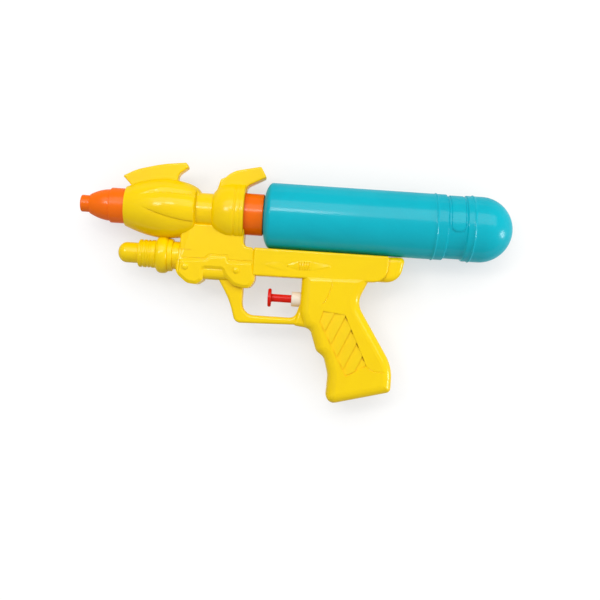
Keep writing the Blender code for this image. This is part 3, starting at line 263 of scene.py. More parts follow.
# Stage: paper and glow of the sheet, the glow's share as light, its half size and place, the shadow painted
# into its glow (reach, level and lean of the ambient occlusion), and the place that the lights face
PAPER = (0.30, 0.28, 0.25, 1)
GLOW = (0.76, 0.78, 0.81, 1)
GLOW_SHARE = 0.35
SHEET_REACH = 3.0
SHEET_PLACE = 0.0262
SHADOW_REACH = 0.06
SHADOW_GLOW = 0.60
SHADOW_LEAN = (0.12, -0.66, 0.74)
LIT_PLACE = (-0.03, 0.0, 0.04)


# Surfaces


def skin(rings, loop=False):
    """Quads between neighbouring rings of points. With loop the last ring joins the first one;
    otherwise each end ring is closed by one face."""
    count, width = rings.shape[:2]
    index = np.arange(count * width).reshape(count, width)
    here, there = (index, np.roll(index, -1, axis=0)) if loop else (index[:-1], index[1:])
    beside, beyond = np.roll(here, -1, axis=1), np.roll(there, -1, axis=1)
    faces = np.stack((here, beside, beyond, there), axis=-1).reshape(-1, 4).tolist()
    if not loop:
        faces += [index[0, ::-1].tolist(), index[-1].tolist()]
    return rings.reshape(-1, 3), faces


def arc(before, corner, after, radius, steps):
    """Points of the circle of the given radius that touches the two sides at a corner."""
    reach, leave = corner - before, after - corner
    sides = np.linalg.norm(reach), np.linalg.norm(leave)
    reach, leave = reach / sides[0], leave / sides[1]
    turn = math.atan2(reach[0] * leave[1] - reach[1] * leave[0], reach @ leave)
    half = math.tan(abs(turn) / 2)
    length = min(radius * half, 0.49 * sides[0], 0.49 * sides[1])
    start = corner - reach * length
    if half < 1e-4:
        return start + np.linspace(0, 2 * length, steps + 1)[:, None] * reach
    arm = np.array((reach[1], -reach[0])) * math.copysign(length / half, turn)
    angle = np.linspace(0, turn, steps + 1)
    cos, sin = np.cos(angle), np.sin(angle)
    turned_arm = np.stack((arm[0] * cos - arm[1] * sin, arm[0] * sin + arm[1] * cos), axis=-1)
    return start - arm + turned_arm


def rounded(corners, closed=True, steps=6):
    """A chain of corners (a, b, rounding) with a circular arc at each corner that has a rounding."""
    points = np.array([corner[:2] for corner in corners], float)
    before, after = np.roll(points, 1, axis=0), np.roll(points, -1, axis=0)
    parts = []
    for i, (_, _, radius) in enumerate(corners):
        end = not closed and i in (0, len(corners) - 1)
        if radius == 0 or end:
            parts.append(points[i:i + 1])
        else:
            parts.append(arc(before[i], points[i], after[i], radius, steps))
    return np.concatenate(parts)


def inset(corners, amount):
    """Corners moved inwards along their bisectors: outer roundings shrink and inner ones grow."""
    points = np.array([corner[:2] for corner in corners], float)
    leave = np.roll(points, -1, axis=0) - points
    leave /= np.linalg.norm(leave, axis=1)[:, None]
    reach = np.roll(leave, 1, axis=0)
    inward = np.stack((-reach[:, 1] - leave[:, 1], reach[:, 0] + leave[:, 0]), axis=-1)
    moved = points + inward * (amount / (1 + np.sum(reach * leave, axis=1)))[:, None]
    convex = reach[:, 0] * leave[:, 1] - reach[:, 1] * leave[:, 0] > 0
    radii = np.array([corner[2] for corner in corners]) + np.where(convex, -amount, amount)
    return [(x, z, max(radius, 0.02)) for (x, z), radius in zip(moved, radii)]


def from_place(corners, place):
    """An outline moved to the place it is given from, running counter-clockwise."""
    x, z, radius = np.array(corners, float).T
    x, z = x + place[0], z + place[1]
    area = np.sum(x * np.roll(z, -1) - z * np.roll(x, -1))
    order = slice(None) if area > 0 else slice(None, None, -1)
    return list(zip(x[order], z[order], radius[order]))


def plate(corners, half, edge, shrink=0.0, support=0.6, rim=6, bevel=None):
    """An outline carried across y: straight walls, a quarter circle of radius edge at each rim, and a
    ring just inside the rim that keeps the flat faces flat. A bevel (width, drop) takes the place of
    the circle: a flat slope with softened ends."""
    if bevel:
        width, drop = bevel
        levels = np.array((width + 0.5, width, 0.92 * width, 0.2 * width, 0.05 * width, 0)) + shrink
        depth = half - drop * np.array((0, 0, 0.06, 0.82, 1.0, 1.4))
    elif edge:
        turn = np.linspace(0, math.pi / 2, rim + 1)
        levels = np.append(edge + support, edge * (1 - np.sin(turn))) + shrink
        depth = np.append(half, half - edge * (1 - np.cos(turn)))
    else:
        levels, depth = np.array([shrink]), np.array([half])
    rings = np.stack([rounded(inset(corners, level)) for level in levels])
    across = np.broadcast_to(depth[:, None], rings.shape[:2])
    near = np.stack((rings[..., 0], across, rings[..., 1]), axis=-1)
    return skin(np.concatenate((near * (1, -1, 1), near[::-1])))


def raised(corners, face, height, slope):
    """A low pad on a face at y: the outline, and the same outline drawn in by the slope as its top."""
    foot, top = rounded(corners, steps=4), rounded(inset(corners, slope), steps=4)
    out = math.copysign(1.0, face)
    levels = ((foot, face - out), (foot, face), (top, face + out * height))
    rings = [np.stack((flat[:, 0], np.full(len(flat), y), flat[:, 1]), axis=-1) for flat, y in levels]
    return skin(np.stack(rings))


def tapered(shape):
    """A shape of the saddle made thinner upwards: its full thickness at the foot, a share at the top."""
    points, faces = shape
    rise = (points[:, 2] - LOWER[1] - SADDLE_LOW) / (SADDLE_TOP - SADDLE_LOW)
    thin = 1 + (SADDLE_SHARE - 1) * rise
    return points * np.stack((np.ones(len(thin)), thin, np.ones(len(thin))), axis=-1), faces


def turned(profile, sides=96, axis="x", centre=(0, 0, 0), loop=False, swell=None):
    """Profile points (along, radius) carried round an axis through centre. The angle runs from +z to +y
    about x, and swell(along, angle) adds to the radius."""
    along, radius = np.asarray(profile, float).T[..., None]
    angle = np.linspace(0, 2 * math.pi, sides, endpoint=False)
    along = np.broadcast_to(along, (len(along), sides))
    if swell is not None:
        radius = radius + swell(along, angle) * (radius > 0)
    one, two = radius * np.sin(angle), radius * np.cos(angle)
    order = {"x": (along, one, two), "y": (one, along, two), "z": (one, two, along)}[axis]
    return skin(np.stack(order, axis=-1) + np.array(centre), loop)


def rod(start, end, radius, centre=(0, 0, 0), axis="x", sides=32):
    """A straight round bar from start to end along the axis."""
    return turned([(start, 0), (start, radius), (end, radius), (end, 0)], sides, axis, centre)


def box(low, high):
    """A block between two corners: a square ring at each end of x."""
    y = np.array((low[1], high[1], high[1], low[1]))
    z = np.array((low[2], low[2], high[2], high[2]))
    ends = [np.stack((np.full(4, x), y, z), axis=-1) for x in (low[0], high[0])]
    return skin(np.stack(ends))


def groove(path, face, width, depth, sides=12):
    """A round bar along a path (x, z) just outside a face at y, sunk so that it cuts a shallow
    groove of that width and depth."""
    points = np.array(path, float)
    radius = (width**2 / 4 + depth**2) / (2 * depth)
    ahead = np.gradient(points, axis=0)
    ahead /= np.linalg.norm(ahead, axis=1)[:, None]
    angle = np.linspace(0, 2 * math.pi, sides, endpoint=False)
    across = np.stack((-ahead[:, 1], ahead[:, 0]), axis=-1)[:, None] * (radius * np.cos(angle))[:, None]
    y = math.copysign(abs(face) + radius - depth, face) + radius * np.sin(angle)
    flat = points[:, None] + across
    return skin(np.stack((flat[..., 0], np.broadcast_to(y, flat.shape[:2]), flat[..., 1]), axis=-1))


def prism(polygon, face, depths):
    """A polygon (x, z) cut into a face at y: its floor lies at the given depth under each corner."""
    flat = np.array(polygon, float)
    outer = np.full(len(flat), face + math.copysign(1.0, face))
    floor = face - math.copysign(1.0, face) * np.asarray(depths)
    rings = [np.stack((flat[:, 0], y, flat[:, 1]), axis=-1) for y in (outer, floor)]
    return skin(np.stack(rings))


def clipped(polygon, normal, limit):
    """The part of a convex polygon where the product with normal is below a limit."""
    kept = []
    for here, there in zip(polygon, polygon[1:] + polygon[:1]):
        inside, outside = np.dot(here, normal) - limit, np.dot(there, normal) - limit
        if inside <= 0:
            kept.append(here)
        if inside * outside < 0:
            share = inside / (inside - outside)
            kept.append(tuple(np.array(here) + share * (np.array(there) - np.array(here))))
    return kept


def smooth(low, high, value):
    """0 below low, 1 above high, and a cubic ease between them."""
    share = np.clip((value - low) / (high - low), 0, 1)
    return share * share * (3 - 2 * share)


def larger(one, two, blend):
    """The larger of two values, with a soft corner where they cross."""
    return (one + two + np.sqrt((one - two) ** 2 + blend**2)) / 2


# Meshes


def to_mesh(name, shape):
    """A welded mesh with outward faces, from points in millimetres and their faces."""
    if isinstance(shape, bpy.types.Mesh):
        return shape
    points, faces = shape
    mesh = bpy.data.meshes.new(name)
    mesh.from_pydata(AXIS + points * MM, [], faces)
    model = bmesh.new()
    model.from_mesh(mesh)
    bmesh.ops.remove_doubles(model, verts=model.verts, dist=1e-7)
    bmesh.ops.recalc_face_normals(model, faces=model.faces)
    model.to_mesh(mesh)
    model.free()
    return mesh


def combined(name, base, *steps):
    """The mesh of a base shape after Boolean steps, each an operation and a list of shapes."""
    scene = bpy.context.scene
    used = []

    def helper(shape):
        obj = bpy.data.objects.new(name + "_form", to_mesh(name + "_form", shape))
        used.append(obj)
        return obj

    start = helper(base)
    scene.collection.objects.link(start)
    groups = []
    for operation, shapes in steps:
        group = bpy.data.collections.new(name + "_forms")
        scene.collection.children.link(group)
        groups.append(group)
        for shape in shapes:
            group.objects.link(helper(shape))
        boolean = start.modifiers.new(operation, "BOOLEAN")
        boolean.operation = operation
        boolean.solver = "MANIFOLD"
        boolean.operand_type = "COLLECTION"
        boolean.collection = group
    bpy.context.view_layer.update()
    graph = bpy.context.evaluated_depsgraph_get()
    mesh = bpy.data.meshes.new_from_object(start.evaluated_get(graph))
    mesh.name = name
    for obj in used:
        bpy.data.objects.remove(obj)
    for group in groups:
        bpy.data.collections.remove(group)
    if not len(mesh.polygons):
        raise RuntimeError(f"{name}: the Boolean steps left nothing")
    return mesh


def add_piece(name, shape, body, slot, nodes):
    """A finished piece in its nodes' place: smooth faces, sharp edges past the crease angle, on a body."""
    mesh = to_mesh(name, shape)
    mesh.materials.clear()
    mesh.materials.append(finish(slot))
    mesh.polygons.foreach_set("use_smooth", np.ones(len(mesh.polygons), bool))
    mesh.set_sharp_from_angle(angle=math.radians(CREASE))
    piece = bpy.data.objects.new(name, mesh)
    bpy.context.scene.collection.objects.link(piece)
    weighted = piece.modifiers.new("Flat faces", "WEIGHTED_NORMAL")
    weighted.keep_sharp = True
    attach(piece, body)
    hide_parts(*nodes)
    return piece


# Materials


def add_node(tree, kind, inputs=(), **settings):
    """A node with its settings, and its inputs given as values or as sockets to link from."""
    node = tree.nodes.new(kind)
    for key, value in settings.items():
        setattr(node, key, value)
    for key, value in dict(inputs).items():
        if isinstance(value, bpy.types.NodeSocket):
            tree.links.new(value, node.inputs[key])
        else:
            node.inputs[key].default_value = value
    return node


def noise(tree, where, scale, detail=3.0, distortion=0.0):
    """The value of a noise texture with cells of about 1 / scale metres."""
    inputs = {"Vector": where, "Scale": scale, "Detail": detail, "Distortion": distortion}
    return add_node(tree, "ShaderNodeTexNoise", inputs).outputs["Fac"]


def ramp(tree, value, low, high, start=0.0, end=1.0):
    """A value taken from low..high to start..end and held at both ends."""
    inputs = {"Value": value, "From Min": low, "From Max": high, "To Min": start, "To Max": end}
    return add_node(tree, "ShaderNodeMapRange", inputs).outputs["Result"]


def sums(tree, operation, *values):
    """Values taken together one after another by a Math operation."""
    total = values[0]
    for value in values[1:]:
        node = add_node(tree, "ShaderNodeMath", {0: total, 1: value}, operation=operation)
        total = node.outputs[0]
    return total


def new_group(name, inputs, outputs):
    """An empty shader node group with named inputs and outputs, and its two end nodes."""
    group = bpy.data.node_groups.new(name, "ShaderNodeTree")
    for label, kind, default in inputs:
        socket = group.interface.new_socket(label, in_out="INPUT", socket_type=kind)
        socket.default_value = default
    for label, kind in outputs:
        group.interface.new_socket(label, in_out="OUTPUT", socket_type=kind)
    return group, group.nodes.new("NodeGroupInput").outputs, group.nodes.new("NodeGroupOutput").inputs


def moulded_skin():
    """Moulded plastic: slow flow marks in the colour, a fine grain, and rubbed patches."""
    group = bpy.data.node_groups.get("moulded_skin")
    if group:
        return group
    group, given, out = new_group(
        "moulded_skin",
        (("Colour", "NodeSocketColor", (0.8, 0.8, 0.8, 1)),
         ("Flow colour", "NodeSocketColor", (0.7, 0.7, 0.7, 1)),
         ("Gloss", "NodeSocketFloat", 0.35), ("Grain", "NodeSocketFloat", 1.0),
         ("Rubbed", "NodeSocketFloat", 1.0)),
        (("Colour", "NodeSocketColor"), ("Roughness", "NodeSocketFloat"), ("Height", "NodeSocketFloat"),
         ("Coat", "NodeSocketFloat")),
    )
    where = add_node(group, "ShaderNodeTexCoord").outputs["Object"]
    flow = ramp(group, noise(group, where, 26, 4, 1.2), 0.42, 0.68)
    mixed = add_node(group, "ShaderNodeMix", {0: flow, 6: given["Colour"], 7: given["Flow colour"]},
                     data_type="RGBA")
    stretched = add_node(group, "ShaderNodeMapping", {"Vector": where, "Scale": (60, 240, 420),
                                                      "Rotation": (0.0, 0.5, 0.2)})
    scuffs = ramp(group, noise(group, stretched.outputs[0], 1.0, 5), 0.60, 0.74)
    patches = ramp(group, noise(group, where, 60, 2), 0.45, 0.65)
    rubbed = sums(group, "MULTIPLY", scuffs, patches, given["Rubbed"])
    fine = noise(group, where, 2400, 2)
    rough = sums(group, "ADD", given["Gloss"], sums(group, "MULTIPLY", flow, 0.05),
                 sums(group, "MULTIPLY", rubbed, 0.16), sums(group, "MULTIPLY", fine, 0.04))
    height = sums(group, "ADD", sums(group, "MULTIPLY", fine, given["Grain"]),
                  sums(group, "MULTIPLY", rubbed, -0.4))
    group.links.new(mixed.outputs[2], out["Colour"])
    group.links.new(rough, out["Roughness"])
    group.links.new(height, out["Height"])
    group.links.new(ramp(group, rubbed, 0, 1, 1.0, 0.6), out["Coat"])
    return group


def plastic(name, colour, flow, gloss, grain, rubbed, coat=0.0, wave=0.0):
    """A moulded plastic with its own colours, gloss, grain and wear, and with wave a slow unevenness.
    The moulded face is a thin glossy coat, weaker where the surface turns away."""
    material = bpy.data.materials.new(name)
    material.use_nodes = True
    tree = material.node_tree
    shader = tree.nodes["Principled BSDF"]
    skin_group = add_node(tree, "ShaderNodeGroup", node_tree=moulded_skin())
    skin_group.inputs["Colour"].default_value = (*colour, 1)
    skin_group.inputs["Flow colour"].default_value = (*flow, 1)
    skin_group.inputs["Gloss"].default_value = gloss + UNDER_ROUGH
    skin_group.inputs["Grain"].default_value = grain
    skin_group.inputs["Rubbed"].default_value = rubbed
    height = skin_group.outputs["Height"]
    if wave:
        where = add_node(tree, "ShaderNodeTexCoord").outputs["Object"]
        height = sums(tree, "ADD", height, sums(tree, "MULTIPLY", noise(tree, where, 45, 1), wave))
    bumped = add_node(tree, "ShaderNodeBump", {"Height": height, "Distance": GRAIN_DEPTH, "Strength": 1.0})
    facing = add_node(tree, "ShaderNodeLayerWeight", {"Blend": 0.5}).outputs["Facing"]
    turned_to = ramp(tree, facing, *COAT_FACING, coat, COAT_LEFT * coat)
    weight = sums(tree, "MULTIPLY", skin_group.outputs["Coat"], turned_to)
    tree.links.new(weight, shader.inputs["Coat Weight"])
    shader.inputs["Coat Roughness"].default_value = gloss
    shader.inputs["Coat IOR"].default_value = COAT_IOR
    tree.links.new(skin_group.outputs["Colour"], shader.inputs["Base Color"])
    tree.links.new(skin_group.outputs["Roughness"], shader.inputs["Roughness"])
    tree.links.new(bumped.outputs[0], shader.inputs["Normal"])
    shader.inputs["Specular IOR Level"].default_value = UNDER_GLOSS
    return material


def plated_steel():
    """Bright zinc plate with a fine grain and dull spots."""
    material = bpy.data.materials.new("zinc_plated_steel")
    material.use_nodes = True
    tree = material.node_tree
    shader = tree.nodes["Principled BSDF"]
    where = add_node(tree, "ShaderNodeTexCoord").outputs["Object"]
    spots = ramp(tree, noise(tree, where, 900, 4), 0.4, 0.7)
    tint = add_node(tree, "ShaderNodeMix", {0: spots, 6: (0.66, 0.66, 0.68, 1), 7: (0.50, 0.49, 0.46, 1)},
                    data_type="RGBA")
    tree.links.new(tint.outputs[2], shader.inputs["Base Color"])
    tree.links.new(ramp(tree, spots, 0, 1, 0.22, 0.45), shader.inputs["Roughness"])
    bumped = add_node(tree, "ShaderNodeBump", {"Height": noise(tree, where, 5200, 2), "Distance": 0.00001})
    tree.links.new(bumped.outputs[0], shader.inputs["Normal"])
    shader.inputs["Metallic"].default_value = 1.0
    return material


def finish(slot):
    """The material of one of the record's slots, made once."""
    material = bpy.data.materials.get("squirter_" + slot)
    if material:
        return material
    look = bpy.context.scene.squirter_colours
    if slot == "steel":
        material = plated_steel()
    elif slot == "black_rubber":
        material = plastic("rubber", look.rubber, (0.03, 0.03, 0.032), 0.5, 2.0, 0.4, 0.3)
    else:
        gloss, grain, rubbed, coat, wave = {
            "yellow_body": (0.15, 0.45, 1.0, 0.85, 0.0), "orange_caps": (0.18, 0.45, 1.0, 0.7, 0.0),
            "teal_tank": (0.15, 0.25, 0.7, 0.75, 12.0), "red_trigger": (0.15, 0.35, 0.8, 0.6, 0.0),
            "white_pump": (0.30, 0.6, 0.6, 0.5, 0.0), "clear_hose": (0.25, 0.3, 0.3, 0.6, 0.0),
        }[slot]
        colour = getattr(look, slot)
        flow = getattr(look, slot + "_flow")
        material = plastic(slot, colour, flow, gloss, grain, rubbed, coat, wave)
    material.name = "squirter_" + slot
    return material


# The yellow body's forms


def barrel_radius(x):
    """Radius along the barrel: the pod swells along a power curve and closes along a quarter ellipse,
    the neck is straight, and the cup flares along a quarter sine and has two ring grooves."""
    swell = POD_R - (POD_R - POD_FRONT_R) * np.clip((POD_PEAK - x) / (POD_PEAK - POD_FRONT), 0, 1) ** 1.7
    close = np.clip((x - POD_PEAK) / (POD_REAR - POD_PEAK), 0, 1)
    pod = swell - POD_CLOSE * (1 - np.sqrt(1 - close**2))
    neck = np.where(x > POD_PEAK, NECK_R, 0)
    flare = np.clip((x - CUP_FRONT) / (CUP_FLARE_END - CUP_FRONT), 0, 1)
    start_r = NECK_R + 0.2
    bell = start_r + (CUP_R - start_r) * np.sin(math.pi / 2 * flare) ** 0.6
    cup = np.where(x > CUP_FRONT, bell, 0)
    radius = larger(larger(pod, neck, 0.6), cup, 0.5)
    return radius - sum(depth * np.exp(-(((x - place) / width) ** 2)) for place, width, depth in CUP_RINGS)


def fin_fillet(x, angle, base):
    """Height added along the foot of each fin, so that its sides run into the barrel in a hollow curve:
    the soft maximum of the barrel's radius and the distance to the fin's side, near the top only."""
    sine = np.abs(np.sin(angle))
    near = (1 - smooth(0.55, 0.9, sine)) * (np.cos(angle) > 0)
    total = 0
    for half, blend, shown in ((HALF["cup_fin"], 5.0, smooth(103.5, 107.0, x)),
                               (HALF["pod_fin"], 3.0, smooth(39.0, 43.0, x) * (1 - smooth(69.0, 73.5, x)))):
        side = np.minimum((half - 1.0) / np.maximum(sine, 0.01), base + 6)
        total = total + shown * (larger(base, side, blend) - base)
    return near * total


def pod_relief(x, angle):
    """Height added to the barrel: on the pod's two sides a long drop-shaped swelling, with a broad valley
    above it and a drop below it that both fade in from the nose, and a step down to the neck at its end;
    and the fillets of the fins."""
    look = bpy.context.scene.squirter_body
    base = barrel_radius(x)
    z = base * np.cos(angle)
    high = 11.2 - 4.2 * (np.clip(71 - x, 0, None) / 24.3) ** 2
    slope = 0.8 + 2.9 * np.exp(-(((x - 70) / 13) ** 2))
    low = -9.6 + 9.1 * (np.clip(88.8 - x, 0, None) / 39.7) ** 1.9
    above, below = z - high, z - low
    share = np.clip(below / (high - low), 0, 1)
    depth = look.pod_groove_depth / MM
    upper = depth * smooth(45, 62, x)
    lower = 0.5 * depth * smooth(47, 60, x)
    inside = (look.pod_swelling / MM * smooth(46, 74, x) * (4 * share * (1 - share)) ** 0.6
              - upper * np.exp(-np.abs(above) / 3.0))
    over = -upper * np.clip(1 - above / slope, 0, 1)
    under = -lower * np.exp(np.minimum(below, 0) / 3.2)
    relief = np.where(above > 0, over, np.where(below < 0, under, inside))
    side = smooth(0.45, 0.7, np.abs(np.sin(angle)))
    shown = 1 - smooth(POD_STEP - 0.7, POD_STEP + 0.7, x)
    step = np.minimum(NECK_R - base, 0) * (1 - shown) * (x < CUP_FRONT - 2)
    return side * (relief * shown + step) + fin_fillet(x, angle, base)


def barrel_form():
    """Pod, neck and cup as one surface over (x, angle), with rounded lips at both ends."""
    turn = np.linspace(0, math.pi / 2, 6)
    front_x, rear_x = POD_FRONT + LIP_ROUND, CUP_REAR - LIP_ROUND
    x = np.concatenate((np.linspace(front_x, 88.0, 110), np.linspace(88.2, 93.4, 36),
                        np.linspace(94.0, 101.0, 12), np.linspace(101.2, rear_x, 92)))
    lip = LIP_ROUND * (1 - np.sin(turn[:-1]))
    front = np.stack((front_x - LIP_ROUND * np.cos(turn[:-1]), barrel_radius(front_x) - lip), axis=-1)
    rear = np.stack((rear_x + LIP_ROUND * np.cos(turn[:-1]), barrel_radius(rear_x) - lip), axis=-1)[::-1]
    profile = np.concatenate((front, np.stack((x, barrel_radius(x)), axis=-1), rear))
    return turned(profile, BARREL_COLUMNS, swell=pod_relief)


def torch_form():
    """A stepped barrel turned about its own axis: a nose along a quarter ellipse, a body with shallow ring
    grooves, a broad bead along a rounded-box curve, a collar and a root inside the block."""
    turn = np.linspace(0, math.pi / 2, 12)
    nose = np.stack((TORCH_FRONT + TORCH_NOSE * (1 - np.cos(turn)), TORCH_TIP_R * np.sin(turn)), axis=-1)
    steps = [(TORCH_FRONT + TORCH_NOSE + 0.5, TORCH_TIP_R, 0), (47.7, TORCH_TIP_R, 0.5), (47.7, TORCH_R, 1.4)]
    for x in TORCH_GROOVES:
        floor = TORCH_R - 0.5
        steps += [(x - 0.9, TORCH_R, 0.4), (x - 0.4, floor, 0.3)]
        steps += [(x + 0.4, floor, 0.3), (x + 0.9, TORCH_R, 0.4)]
    place, half, height = TORCH_BEAD
    steps.append((place - half - 0.4, TORCH_R, 0))
    across = np.sin(np.linspace(-math.pi / 2, math.pi / 2, 25))[1:-1]
    rise = height * np.sqrt(1 - np.abs(across) ** 2.6)
    bead = np.stack((place + half * across, TORCH_R + rise), axis=-1)[:-2]
    root = [(place + half, 12.6, 0), (73.6, 12.1, 0.6), (74.0, TORCH_R, 0.4), (TORCH_ROOT, TORCH_R, 0),
            (TORCH_ROOT, 0, 0)]
    body = [rounded(chain, closed=False, steps=6) for chain in (steps, root)]
    return turned(np.concatenate((nose, body[0], bead, body[1])), 128, centre=(0, 0, TORCH_Z))


def pin_form(place, face):
    """A low dome on the block's face, on both sides of the body."""
    turn = np.linspace(0, math.pi / 2, 8)
    dome = np.stack((face + PIN_HEIGHT * np.sin(turn), PIN_R * np.cos(turn)), axis=-1)
    half = np.concatenate((((face - 2.0, PIN_R),), dome))
    profile = np.concatenate((half[::-1] * (-1, 1), half))
    x, z = LOWER[0] + place[0], LOWER[1] + place[1]
    return turned(profile, 48, "y", (x, 0, z))


def bow_plan(name, level, shrink=0.0):
    """The outline that a tier of the lower body has from above at a level: a blunt nose that narrows
    upwards, two slightly slanted fronts and straight sides."""
    front, nose, flat, held = BOWS[name]
    half = HALF[name]
    nose = nose - BOW_LEAN * (level - held)
    plan = [(front, -nose, 2.5), (flat, -half, 0.5), (BOW_REAR, -half, 0.5), (BOW_REAR, half, 0.5),
            (flat, half, 0.5), (front, nose, 2.5)]
    return rounded(inset(from_place(plan, (LOWER[0], 0)), shrink), steps=8)


def bow(name, shrink=0.0):
    """A tall prism between the plans of a tier at two levels."""
    rings = []
    for level in (BOW_LOW, BOW_TOP):
        plan = bow_plan(name, level, shrink)
        rings.append(np.stack((plan[:, 0], plan[:, 1], np.full(len(plan), level)), axis=-1))
    return skin(np.stack(rings))


def tier(name, shape, edge, shrink=0.0, bevel=None):
    """A plate of the lower body met by its bow; the saddle and the deck lean inwards upwards."""
    side = plate(from_place(shape, LOWER), HALF[name] - shrink, edge, shrink, bevel=bevel)
    pair = [side, bow(name, shrink)]
    if name != "block":
        pair = [tapered(form) for form in pair]
    return combined(name, pair[0], ("INTERSECT", pair[1:]))


def lower_forms():
    """The plates that make up the lower body, each an outline with rounded or bevelled rims."""
    look = bpy.context.scene.squirter_body
    edges = {"grip": look.grip_edge / MM, **EDGES}
    shapes = {"grip": GRIP, "toe": TOE, "guard": GUARD, "tail": TAIL, "rail": RAIL, "bar": BAR}
    forms = []
    for name, edge in edges.items():
        forms.append(plate(from_place(shapes[name], LOWER), HALF[name], edge, support=EDGE_SUPPORT))
    forms += [tier("saddle", SADDLE, SADDLE_EDGE), tier("deck", DECK, DECK_EDGE)]
    forms.append(tier("block", BLOCK, 0, bevel=BLOCK_BEVEL))
    for name, shape, place in (("pod_fin", POD_FIN, POD_FIN_FROM), ("cup_fin", CUP_FIN, CUP_FIN_FROM)):
        forms.append(plate(from_place(shape, place), HALF[name], FIN_EDGE, support=FIN_SUPPORT))
    forms += [pin_form(place, HALF["block"]) for place in PIN_PLACES]
    return forms + rail_marks()


def body_hollow():
    """The room inside the body: each form again, a wall thinner, less the ribs and the screw bosses."""
    wall = 2.0
    x = np.linspace(45.5, 87.5, 24)
    pod = np.stack((x, barrel_radius(x) - wall - 0.8), axis=-1)
    spaces = [
        turned(np.concatenate((((45.5, 0),), pod, ((87.5, 0),))), 48),
        rod(84.0, COLLAR_FRONT, NECK_R - wall, sides=48),
        turned([(35.7, 0), (35.7, 5.1), (49.7, 5.1), (49.7, 7.4), (72.0, 7.4), (72.0, 0)], 32,
               centre=(0, 0, TORCH_Z)),
        plate(from_place(PASSAGE, LOWER), HALF["passage"], 0),
    ]
    shapes = {"rail": RAIL_ROOM, "tail": TAIL, "grip": GRIP}
    walls = {"rail": wall, "tail": wall, "grip": GRIP_WALL}
    for name, shape in shapes.items():
        spaces.append(plate(from_place(shape, LOWER), HALF[name] - walls[name], 0, wall))
    for name, shape in (("saddle", SADDLE), ("deck", DECK), ("block", BLOCK)):
        spaces.append(tier(name, shape, 0, wall))
    ribs = [turned([(48.6, 12.0), (50.6, 12.0), (50.6, POD_R), (48.6, POD_R)], 48, loop=True),
            box((188.2, -12.5, PUMP_Z - 12.5), (190.7, 12.5, PUMP_Z + 12.5))]
    for x, z in SCREW_PLACES:
        ribs.append(rod(-POD_R, POD_R, BOSS_R, (LOWER[0] + x, 0, LOWER[1] + z), "y", 24))
    return combined("body_room", spaces[0], ("UNION", spaces[1:]), ("DIFFERENCE", ribs))


def body_holes():
    """Bores for the nozzle, the collar and the pump, and the screws' stepped holes."""
    holes = [
        rod(33.5, 47.5, 13.3 + FIT_GAP, sides=96),
        turned([(108.7, 0), (108.7, 16.1), (112.7, 16.1), (112.7, 18.5), (116.1, 18.5), (116.1, 16.1),
                (130.0, 16.1), (130.0, 0)], 96),
        rod(168.0, 192.0, PUMP_R + FIT_GAP, (0, 0, PUMP_Z), sides=64),
    ]
    for x, z in SCREW_PLACES:
        steps = [(SCREW_TIP - FIT_GAP, 0), (SCREW_TIP - FIT_GAP, SCREW_R + FIT_GAP),
                 (SCREW_SEAT, SCREW_R + FIT_GAP), (SCREW_SEAT, SCREW_HEAD_R + FIT_GAP),
                 (POD_R + 2, SCREW_HEAD_R + FIT_GAP), (POD_R + 2, 0)]
        holes.append(turned(steps, 32, "y", (LOWER[0] + x, 0, LOWER[1] + z)))
    return holes


def slot(one, two, face, depth):
    """A narrow straight-walled slot from one place to another on a face at y."""
    one, two = np.array(one), np.array(two)
    ahead = (two - one) / np.linalg.norm(two - one)
    aside = np.array((-ahead[1], ahead[0])) * SLOT_WIDTH / 2
    reach = ahead * SLOT_WIDTH / 2
    corners = (one - reach - aside, two + reach - aside, two + reach + aside, one - reach + aside)
    return prism(corners, face, np.full(4, depth))


def panel_lines():
    """Fine grooves on both sides of the deck and the grip, and short slots along edges of the grip panel."""
    look = bpy.context.scene.squirter_body
    width, depth = look.line_width / MM, look.line_depth / MM
    shelf = ((-9.6, -11.1), (2.1, -10.9), (6.6, -10.6), (9.6, -7.4), (24.0, -7.3), (25.0, -10.9),
             (43.0, -10.6))
    lines = [
        (HALF["deck"], [(LOWER[0] + x, LOWER[1] + z) for x, z in shelf]),
        (HALF["grip"], ((195.6, -44.0), (195.4, -51.0), (193.6, -57.2), (191.6, -61.8), (189.2, -65.0))),
        (HALF["grip"], ((224.9, -108.6), (227.4, -110.9), (230.3, -112.4), (234.6, -112.8), (241.0, -112.7))),
        (HALF["grip"], PANEL[3:] + PANEL[:1]),
    ]
    cuts = [groove(path, side * face, width, depth) for face, path in lines for side in (-1, 1)]
    for one, two in zip(PANEL[:3], PANEL[1:4]):
        cuts += [slot(one, two, side * HALF["grip"], SLOT_DEPTH) for side in (-1, 1)]
    return cuts


def bow_line():
    """A fine slot round the bow where the saddle meets the deck: a frame between the deck's plan drawn in
    and drawn out, kept only ahead of the flat sides."""
    top, low = LOWER[1] - 4.6, LOWER[1] - 5.1
    inner, outer = (bow_plan("deck", top, shrink) for shrink in (0.5, -1.5))
    levels = ((inner, top), (outer, top), (outer, low), (inner, low))
    rings = [np.stack((plan[:, 0], plan[:, 1], np.full(len(plan), z)), axis=-1) for plan, z in levels]
    front, _, flat, _ = BOWS["deck"]
    ahead = box((LOWER[0] + front + 0.4, -30, low - 2), (LOWER[0] + flat, 30, top + 2))
    return combined("bow_line", skin(np.stack(rings), loop=True), ("INTERSECT", [ahead]))


